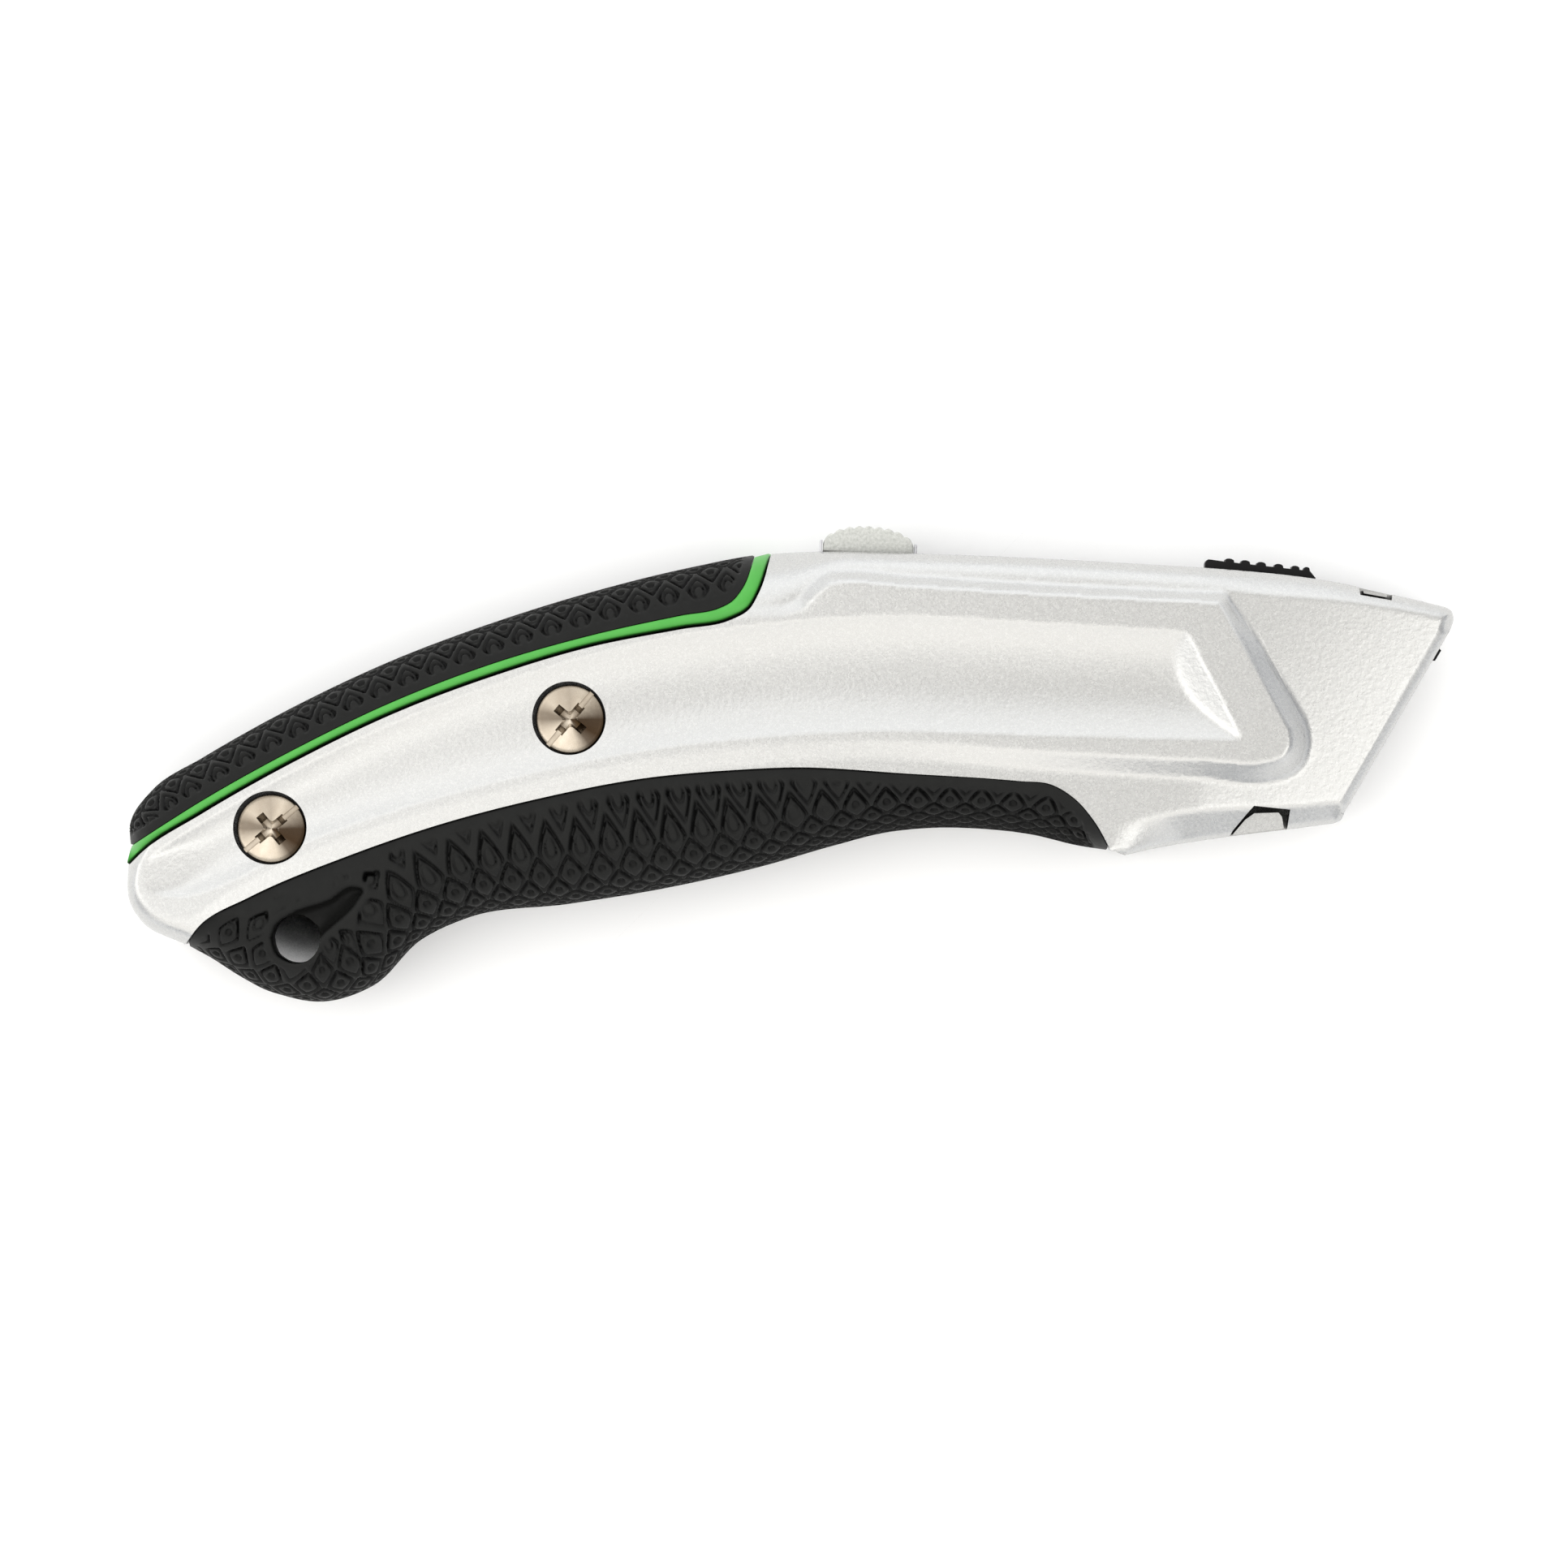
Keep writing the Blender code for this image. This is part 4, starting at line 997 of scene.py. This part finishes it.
def lower_lattice(flat, lift):
    """Pitches along the lower grip and rows across it, at each point of its grid."""
    x = flat[:, 0]
    reach, fall, wall = LOWER_FORM
    knots = np.array(TALL_ROW, float)
    line = smooth_path(knots[:, :2])
    at = nearest(knots[:, :2], line)[1]
    row_arcs = wall + quarter_arc(segment_distances(line, BELLY_EDGE), reach, fall)
    away, along = nearest(flat, line)
    under = inside(flat, np.vstack([line, [(60.0, -60.0), (-95.0, -60.0)]]))
    arc = lift.reshape(-1) + quarter_arc(segment_distances(flat, BELLY_EDGE), reach, fall)
    share = arc / np.interp(along, run_lengths(line), row_arcs)
    rows = np.arange(FIRST_ROW, TALL + 1)
    forward = ramp(x, -20.0, 22.0)
    q = np.interp(share, MID_ROWS, rows) * (1.0 - forward)
    q += np.interp(share, FRONT_ROWS, rows) * forward
    rise = 2.6 + 2.5 * ramp(x, -56.0, -50.0) - 2.7 * ramp(x, -15.0, 18.0)
    q = np.where(under, q, TALL + away / rise)
    lean = 0.025 * (1.0 - ramp(x, -10.0, 10.0)) * ramp(x, -56.0, -50.0)
    p = np.interp(along, at, knots[:, 2]) + lean * np.where(under, -away, away)
    tail_p, tail_q = tail_lattice(flat, arc, rise)
    rear = 1.0 - ramp(x, *TAIL_BLEND)
    p = evened((p + (tail_p - p) * rear).reshape(lift.shape))
    q = evened((q + (tail_q - q) * rear).reshape(lift.shape))
    return p, q


def lower_pattern(plan, lift, grid):
    """Depth of the lower grip's pattern, which fades out at the rims, the recess and both tips."""
    flat = plan.reshape(-1, 2)
    x = flat[:, 0]
    p, q = lower_lattice(flat, lift)
    ringed = (1.0 - ramp(x, -6.0, 12.0)).reshape(lift.shape) * ramp(q, 7.05, 7.35)
    flames = (0.5 + 0.24 * ramp(x, -36.0, -14.0)).reshape(lift.shape)
    depth = diamonds(p, q, grid, ringed, TALL + 1, flames)
    teardrop = teardrop_line(0.0)
    hollow = np.where(inside(flat, teardrop), 0.0, segment_distances(flat, teardrop))
    fade = ramp(segment_distances(flat, EDGE_OF_GRIP), 1.1, 2.3) * ramp(hollow, 0.8, 1.6)
    fade *= ramp(BELLY[0][0] - x, 1.5, 3.5) * ramp(x - BELLY[-1][0], 0.5, 2.0)
    return depth * fade.reshape(lift.shape) * (1.0 - ramp(q, 9.8, 10.4))


def upper_pattern(plan, lift, grid):
    """Depth of the upper grip's pattern, whose rows run with the spine."""
    flat = plan.reshape(-1, 2)
    reach, fall, wall = UPPER_FORM
    spine, along = nearest(flat, TOP_EDGE)
    arc = (lift.reshape(-1) + quarter_arc(spine, reach, fall)).reshape(lift.shape)
    q = np.interp(arc, UPPER_ROWS, np.arange(len(UPPER_ROWS)))
    p = ((along - UPPER_PHASE) / PITCH).reshape(lift.shape)
    depth = diamonds(p, q, grid, ramp(q, 4.2, 4.6), 5, 0.66)
    fade = ramp(segment_distances(flat, TRIM_UP), 1.0, 1.9).reshape(lift.shape)
    return depth * fade * (1.0 - ramp(q, 4.95, 5.75))


def under_side(points, lower):
    """The height of a grip's inner face: over the core, or down to the parting plane beside it."""
    over = core_height(points) + CORE_GAP
    clear = segment_distances(points, OUTLINE, closed=True) > RUBBER - CORE_GAP
    rear, front = CORE_REACH
    clear &= (points[:, 0] > rear - CORE_GAP) & (points[:, 0] < front + CORE_GAP)
    if lower:
        clear &= ~inside(points, teardrop_line(0.9))
    return np.where(clear, over, HALF_GAP)


def grip_rings(side, outer, inner, form, height, pattern, across, lower):
    """A grip's rings across it: its patterned outer face, then its inner face back again."""
    count = len(outer)
    plan, lift = grip_grid(outer, inner, *form, count, across)
    flat = plan.reshape(-1, 2)
    top = height(flat).reshape(count, across)
    top = np.where(lift < form[2] - 1e-6, np.minimum(top, lift + HALF_GAP), top)
    grid = np.concatenate([plan, top[:, :, None]], axis=2)
    depth = pattern(plan, lift, grid)
    if lower:
        teardrop = teardrop_line(0.0)
        lip = rounding(segment_distances(flat, teardrop, closed=True), 0.6, 0.6)
        top -= np.where(inside(flat, teardrop), 0.6, lip).reshape(top.shape)
    grid = np.concatenate([plan, top[:, :, None]], axis=2)
    face = displaced(grid, depth)
    spots = np.linspace(0, across - 1, 8).astype(int)[::-1]
    back_plan = plan[:, spots]
    back = under_side(back_plan.reshape(-1, 2), lower).reshape(count, -1)
    back = np.minimum(back, face[:, spots, 2] - 0.25)
    back = np.maximum(back, HALF_GAP)
    back_grid = np.concatenate([back_plan, back[:, :, None]], axis=2)
    rings = np.concatenate([face, back_grid], axis=1)
    rings[:, :, 2] *= side
    return rings


def bowl(side):
    """The cutter for the recess round the lanyard hole: a bowl that runs out in a channel."""
    line = teardrop_line(0.0)

    def floor(points):
        edge = rounding(segment_distances(points, line, closed=True), 1.3, 1.3)
        return 6.2 + 2.6 * ramp(points[:, 0], -63.0, -56.0) + edge

    def ceiling(points):
        return np.full(len(points), OUTSIDE)

    return height_solid("cut", line, side, ceiling, floor, step=0.35)


def lower_rings(side):
    """The grip round the belly."""
    count, across = LOWER_GRID
    outer = even_path(BELLY_EDGE, count, 0.004, 0.996)
    inner = even_path(moved_in_line(EDGE_OF_GRIP, -SEAM)[::-1], count, 0.004, 0.996)
    return grip_rings(side, outer, inner, LOWER_FORM, lower_height, lower_pattern, across, True)


def upper_rings(side):
    """The grip over the spine, as far forward as the trim's upper end."""
    count, across = UPPER_GRID
    outer = even_path(TOP_EDGE[TOP_EDGE[:, 0] < TRIM_TOP[-1][0]], count, 0.004, 0.999)
    inner = even_path(moved_in_line(TRIM_UP, SEAM), count, 0.004, 0.999)
    return grip_rings(side, outer, inner, UPPER_FORM, upper_height, upper_pattern, across, False)


def make_grips(rubber):
    """Both pairs of grips, with the lanyard hole through the lower ones."""
    for word, side in (("right", 1), ("left", -1)):
        lower = loft(f"{word}_lower_rubber", lower_rings(side), rubber)
        minus(lower, bowl(side), prism("cut", circle(LANYARD, LANYARD_R), -12.0, 12.0))
        settle(shaded(lower, 85.0), "handle", "black_rubber", f"{word}_lower_grip")
        upper = loft(f"{word}_upper_rubber", upper_rings(side), rubber)
        settle(shaded(upper, 85.0), "handle", "black_rubber", f"{word}_upper_grip")


def moved_in_line(line, distance):
    """An open line moved sideways: to its left for a positive distance."""
    tangent = np.gradient(line, axis=0)
    tangent /= np.hypot(*tangent.T)[:, None]
    return line + np.stack([-tangent[:, 1], tangent[:, 0]], axis=1) * distance


def make_trims(green):
    """The strips beside the upper grips: low beads, each with a flange under the metal's edge."""
    count = 520
    up = even_path(moved_in_line(TRIM_UP, -0.02), count, 0.002, 0.998)
    down = even_path(moved_in_line(TRIM_DOWN, 0.38), count, 0.002, 0.998)
    flange = even_path(moved_in_line(TRIM_DOWN, 0.02), count, 0.002, 0.998)
    shares = np.linspace(0.0, 1.0, 13)
    bead = 0.28 * np.sqrt(1.0 - (2.0 * shares - 1.0) ** 2)
    plan = up[:, None] + (down - up)[:, None] * shares[None, :, None]
    top = upper_height(plan.reshape(-1, 2)).reshape(count, -1) - 0.12 + bead - 0.35 * shares**2
    rim = np.stack([flange, flange, up], axis=1)
    drops = np.stack([top[:, -1] - 0.8, top[:, -1] - 1.2, top[:, 0] - 1.2], axis=1)
    drops = np.maximum(drops, HALF_GAP + np.array([0.05, 0.0, 0.0]))
    rings = np.concatenate([np.dstack([plan, top]), np.dstack([rim, drops])], axis=1)
    for word, side in (("right", 1), ("left", -1)):
        strip = loft(f"{word}_green_trim", rings * (1, 1, side), green)
        settle(shaded(strip, 60.0), "handle", "green_trim", f"{word}_trim")


# Screws.


def turned(name, centre, profile, count=96, material=None):
    """A solid turned round a vertical axis, from (radius, z) points whose ends are on the axis."""
    rings = [p for p in profile if p[0] > 0]
    points = [(centre[0], centre[1], profile[0][1])]
    for radius, z in rings:
        points += [(x, y, z) for x, y in circle(centre, radius, count)]
    points.append((centre[0], centre[1], profile[-1][1]))
    last = len(points) - 1
    faces = [(0, 1 + (i + 1) % count, 1 + i) for i in range(count)]
    for k in range(len(rings) - 1):
        a, b = 1 + k * count, 1 + (k + 1) * count
        faces += [(a + i, a + (i + 1) % count, b + (i + 1) % count, b + i) for i in range(count)]
    end = 1 + (len(rings) - 1) * count
    faces += [(end + i, end + (i + 1) % count, last) for i in range(count)]
    return new_object(name, points, faces, material)


def cross_line(centre, turn, reach, half, round_r):
    """A Phillips cross in plan: four arms whose inner corners are rounded."""
    inner = half + round_r
    corner = [(inner - round_r * math.sin(a), inner - round_r * math.cos(a))
              for a in np.linspace(0.0, math.pi / 2, 7)]
    quarter = [(reach, -half), (reach, half)] + corner
    points = []
    for k in range(4):
        base = math.radians(turn + 90 * k)
        c, s = math.cos(base), math.sin(base)
        points += [(centre[0] + x * c - y * s, centre[1] + x * s + y * c) for x, y in quarter]
    return points


def tapered(name, centre, outline, z0, z1, shrink):
    """A prism over an outline that narrows towards its centre at the bottom."""
    cx, cy = centre
    low = [(cx + (x - cx) * shrink, cy + (y - cy) * shrink, z0) for x, y in outline]
    return loft(name, [low, [(x, y, z1) for x, y in outline]])


def slot_cutter(centre, turn, half, floor, top):
    """A slot right across a head, with slightly sloping walls."""
    base = math.radians(turn)
    c, s = math.cos(base), math.sin(base)
    corners = [(-half, top), (half, top), (0.7 * half, floor), (-0.7 * half, floor)]
    rings = []
    for end in (-5.2, 5.2):
        x, y = centre[0] + end * c, centre[1] + end * s
        rings.append([(x - side * s, y + side * c, z) for side, z in corners])
    return loft("cut", rings)


def screw_profile():
    """A plain shank and a low domed head, as (radius, z) points."""
    low, rim = SEAT_Z + 0.3, HEAD_R - 0.3
    line = [(0.0, -6.5), (SHANK_R - 0.5, -6.5), (SHANK_R, -6.0), (SHANK_R, low), (HEAD_R, low)]
    line += [(HEAD_R, 8.2), (HEAD_R - 0.05, 8.35), (HEAD_R - 0.16, 8.46), (rim, HEAD_TOP)]
    for r in np.linspace(HEAD_R - 0.7, 0.6, 8):
        line.append((r, HEAD_TOP + HEAD_CROWN * (1.0 - (r / rim) ** 1.5)))
    line.append((0.0, HEAD_TOP + HEAD_CROWN))
    return line


def make_screws(nickel):
    """Two screws, each with a slot and a cross in its head, and centred in its own mesh."""
    profile = screw_profile()
    for name, bore, turn in zip(("front", "rear"), SCREWS, SCREW_TURNS, strict=True):
        centre = (bore[0] + HEAD_SHIFT, bore[1] - HEAD_SHIFT)
        screw = turned(f"{name}_screw_head", centre, profile, material=nickel)
        slot = slot_cutter(centre, turn, 0.46, 8.12, 9.4)
        cross = tapered("cut", centre, cross_line(centre, turn, 2.75, 0.68, 0.5), 6.4, 9.6, 0.5)
        minus(screw, slot, cross)
        middle = Vector((centre[0] * MM, centre[1] * MM, 0.0))
        screw.data.transform(Matrix.Translation(-middle))
        screw.location = middle
        settle(shaded(screw, 25.0), "handle", "screw_nickel", f"{name}_body_screw")


# Knob and button.


def rounded_side(name, outline, half, soft, material):
    """A side view given its thickness, with its long edges rounded off."""
    outline = np.asarray(outline, float)
    rings = []
    for a in np.linspace(0.0, math.pi / 2, 5):
        rings.append((half - soft + soft * math.sin(a), soft * (1.0 - math.cos(a))))
    layers = [(-z, d) for z, d in reversed(rings)] + rings
    made = []
    for z, d in layers:
        made.append([(x, y, z) for x, y in moved_in(outline, d)])
    return loft(name, made, material)


def frame_side():
    """A folded strip whose ends stand up as ears beside the knob."""
    u0, u1 = KNOB_U[0] - 0.12, KNOB_U[1] + 0.12
    line = [(u0 - 0.35, 26.4), (u1 + 0.35, 26.4), (u1 + 0.35, 29.6), (u1 + 0.2, 29.8)]
    line += [(u1, 29.75), (u1, 27.0), (u0, 27.0), (u0, 29.75), (u0 - 0.2, 29.8), (u0 - 0.35, 29.6)]
    return track(line)


def leaf_side():
    """A bowed leaf spring on the frame, under the knob."""
    share = np.linspace(0.0, 1.0, 13)
    rise = 1.8 * share * (1.0 - share)
    u = KNOB_U[0] + 1.2 + share * (KNOB_U[1] - KNOB_U[0] - 2.4)
    under = list(zip(u, 27.15 + rise, strict=True))
    over = list(zip(u[::-1], 27.35 + rise, strict=True))
    return track(under + over)


def knob_side():
    """A low arch whose top is cut into rounded ridges."""
    u0, u1 = KNOB_U
    line = [(u0, 28.3), (u1, 28.3)]
    count = 120
    for i in range(count + 1):
        t = 1.0 - i / count
        arch = 29.35 + 2.25 * (1.0 - abs(2 * t - 1) ** 2.2) ** 0.62
        ridge = abs(math.sin(math.pi * 9 * t))
        line.append((u0 + (u1 - u0) * t, arch + 0.30 * ridge - 0.02))
    return track(line)


def make_knob(grey, steel):
    """The thumb knob, with the frame that it sits in and the leaf spring under it."""
    strip = rounded_side("knob_frame_folded", frame_side(), 3.9, 0.08, steel)
    settle(shaded(strip, 60.0), "carriage", "spring_steel", "knob_frame")
    leaf = rounded_side("knob_leaf_spring", leaf_side(), 1.8, 0.05, steel)
    settle(shaded(leaf, 60.0), "carriage", "spring_steel", "knob_spring")
    knob = rounded_side("thumb_knob_cast", knob_side(), 3.7, 0.25, grey)
    minus(knob, prism("cut", track_box(KNOB_U[0] + 0.9, KNOB_U[1] - 0.9, 27.8, 29.2), -2.1, 2.1))
    settle(shaded(knob, 60.0), "knob", "knob_grey", "thumb_knob")


def button_side():
    """A lever with a hinge end at the rear and six ribs along its sloping top."""
    x0, x1 = 54.65, 69.25
    slope = math.tan(math.radians(-6.3))

    def top(x):
        return 27.1 + slope * (x - x0)

    line = [(49.9, 20.8), (49.9, 24.1), (50.4, 24.5), (x0, 24.5), (x0, top(x0) - 0.6)]
    line += [(x0 + 0.15, top(x0) - 0.25), (x0 + 0.45, top(x0) - 0.04)]
    for x, half in ((57.9, 0.62), (60.0, 0.62), (62.1, 0.62), (64.4, 0.6), (66.6, 0.55), (68.1, 0.4)):
        for a in np.linspace(math.pi, 0.0, 7):
            step = half * math.cos(a)
            line.append((x + step, top(x + step) - 0.06 + 0.48 * math.sin(a) ** 0.6))
    line += [(x1, top(x1) - 0.9), (x1, 22.9), (58.0, 22.2), (54.5, 20.8)]
    return line


def make_button(black):
    """The ribbed release button, hollow underneath where its spring is."""
    button = rounded_side("release_button_ribbed", button_side(), BUTTON_HALF, 0.12, black)
    recess = [(56.6, 19.0), (68.5, 19.0), (68.5, 23.6), (56.6, 23.6)]
    pin_hole = prism("cut", circle(PIN, *PIN_BORE), -6.0, 6.0)
    minus(button, prism("cut", recess, -2.4, 2.4), pin_hole)
    settle(shaded(button, 50.0), "release", "black_plastic", "release_button")


# Stage, light and camera.


VIEW_WIDTH = 0.20742  # what the picture takes in at the knife, m
VIEW_CENTRE = (-0.966 * MM, -2.63 * MM)
CAMERA_UP = 2.4
SENSOR = 36.0
FLOOR_DROP = 0.0002  # keeps the floor clear of the knife's under side
PALE = (0.95, 0.95, 0.95)

HORIZON = (1.58, 1.6, 1.63, 1.0)
ZENITH = (1.085, 1.065, 1.03, 1.0)
GLOWS = [  # degrees round from +X and off the zenith, radius at full and at none, strength
    (-90.0, 42.0, 6.0, 28.0, (0.75, 0.72, 0.67)),
    (-90.0, 76.0, 4.0, 26.0, (-0.75, -0.74, -0.72)),
    (-150.0, 68.0, 4.0, 24.0, (-0.5, -0.5, -0.48)),
    (90.0, 50.0, 8.0, 38.0, (0.60, 0.62, 0.64)),
    (180.0, 38.0, 8.0, 31.0, (1.15, 1.14, 1.10)),
    (-32.0, 26.0, 5.0, 17.0, (1.7, 1.69, 1.64)),
    (5.0, 70.0, 10.0, 42.0, (-0.75, -0.74, -0.71)),
]


def make_stage():
    """A plain pale floor, with painted shade only where something all but covers it."""
    mesh = bpy.data.meshes.new("floor")
    corners = [(-6, -6), (6, -6), (6, 6), (-6, 6)]
    mesh.from_pydata([(x, y, -FLOOR_DROP) for x, y in corners], [], [(0, 1, 2, 3)])
    pale = Shader("pale_floor", "floor", PALE, 0.9)
    # painted shade: the floor goes dark where the knife all but covers it, as down the lanyard hole
    pale.use(pale.shadowed(PALE, 12.0, 0.13, 0.36), "Base Color")
    mesh.materials.append(pale.material)
    floor = bpy.data.objects.new("floor", mesh)
    bpy.context.scene.collection.objects.link(floor)


def with_glow(tree, place, before, round_about, off_zenith, full, none, color):
    """The room's light with one broad soft glow added to it, or taken away."""
    a, b = math.radians(round_about), math.radians(off_zenith)
    middle = (math.cos(a) * math.sin(b), math.sin(a) * math.sin(b), math.cos(b))
    towards = tree.nodes.new("ShaderNodeVectorMath")
    towards.operation = "DOT_PRODUCT"
    towards.inputs[1].default_value = middle
    tree.links.new(place, towards.inputs[0])
    share = tree.nodes.new("ShaderNodeMapRange")
    share.interpolation_type = "SMOOTHSTEP"
    share.inputs["From Min"].default_value = math.cos(math.radians(none))
    share.inputs["From Max"].default_value = math.cos(math.radians(full))
    tree.links.new(towards.outputs["Value"], share.inputs["Value"])
    glow = tree.nodes.new("ShaderNodeVectorMath")
    glow.operation = "SCALE"
    glow.inputs[0].default_value = color
    tree.links.new(share.outputs["Result"], glow.inputs["Scale"])
    total = tree.nodes.new("ShaderNodeVectorMath")
    tree.links.new(before, total.inputs[0])
    tree.links.new(glow.outputs["Vector"], total.inputs[1])
    return total.outputs["Vector"]


def make_world():
    """A pale room that is brighter towards the horizon than overhead, with soft glows in it."""
    world = bpy.data.worlds.new("studio")
    bpy.context.scene.world = world
    world.use_nodes = True
    tree = world.node_tree
    place = tree.nodes.new("ShaderNodeTexCoord").outputs["Generated"]
    split = tree.nodes.new("ShaderNodeSeparateXYZ")
    shades = tree.nodes.new("ShaderNodeValToRGB")
    shades.color_ramp.elements[0].color = HORIZON
    shades.color_ramp.elements[1].color = ZENITH
    tree.links.new(place, split.inputs["Vector"])
    tree.links.new(split.outputs["Z"], shades.inputs["Fac"])
    total = shades.outputs["Color"]
    for glow in GLOWS:
        total = with_glow(tree, place, total, *glow)
    tree.links.new(total, tree.nodes["Background"].inputs["Color"])


def make_lights():
    """A soft panel over the rear of the handle."""
    data = bpy.data.lights.new("overhead_softbox", "AREA")
    data.shape = "RECTANGLE"
    data.size, data.size_y = 0.3, 0.5
    data.energy = 0.28
    light = bpy.data.objects.new("overhead_softbox", data)
    light.location = (-0.16, 0.0, 0.45)
    light.visible_camera = False
    bpy.context.scene.collection.objects.link(light)


def make_camera():
    """A camera far above, square on to the knife's right side."""
    data = bpy.data.cameras.new("camera")
    data.sensor_width = SENSOR
    data.lens = SENSOR * CAMERA_UP / VIEW_WIDTH
    data.clip_end = 10.0
    camera = bpy.data.objects.new("camera", data)
    camera.location = (*VIEW_CENTRE, HALF_WIDTH * MM + CAMERA_UP)
    bpy.context.scene.collection.objects.link(camera)
    bpy.context.scene.camera = camera


def main():
    """Everything round the frame."""
    bpy.context.scene.view_settings.view_transform = "Standard"
    make_camera()
    make_world()
    make_lights()
    make_stage()
    materials = all_shaders()
    dress_cad_nodes(materials)
    make_shells(materials["silver_paint"])
    make_grips(materials["black_rubber"])
    make_trims(materials["green_trim"])
    make_screws(materials["screw_nickel"])
    make_knob(materials["knob_grey"], materials["spring_steel"])
    make_button(materials["black_plastic"])


main()
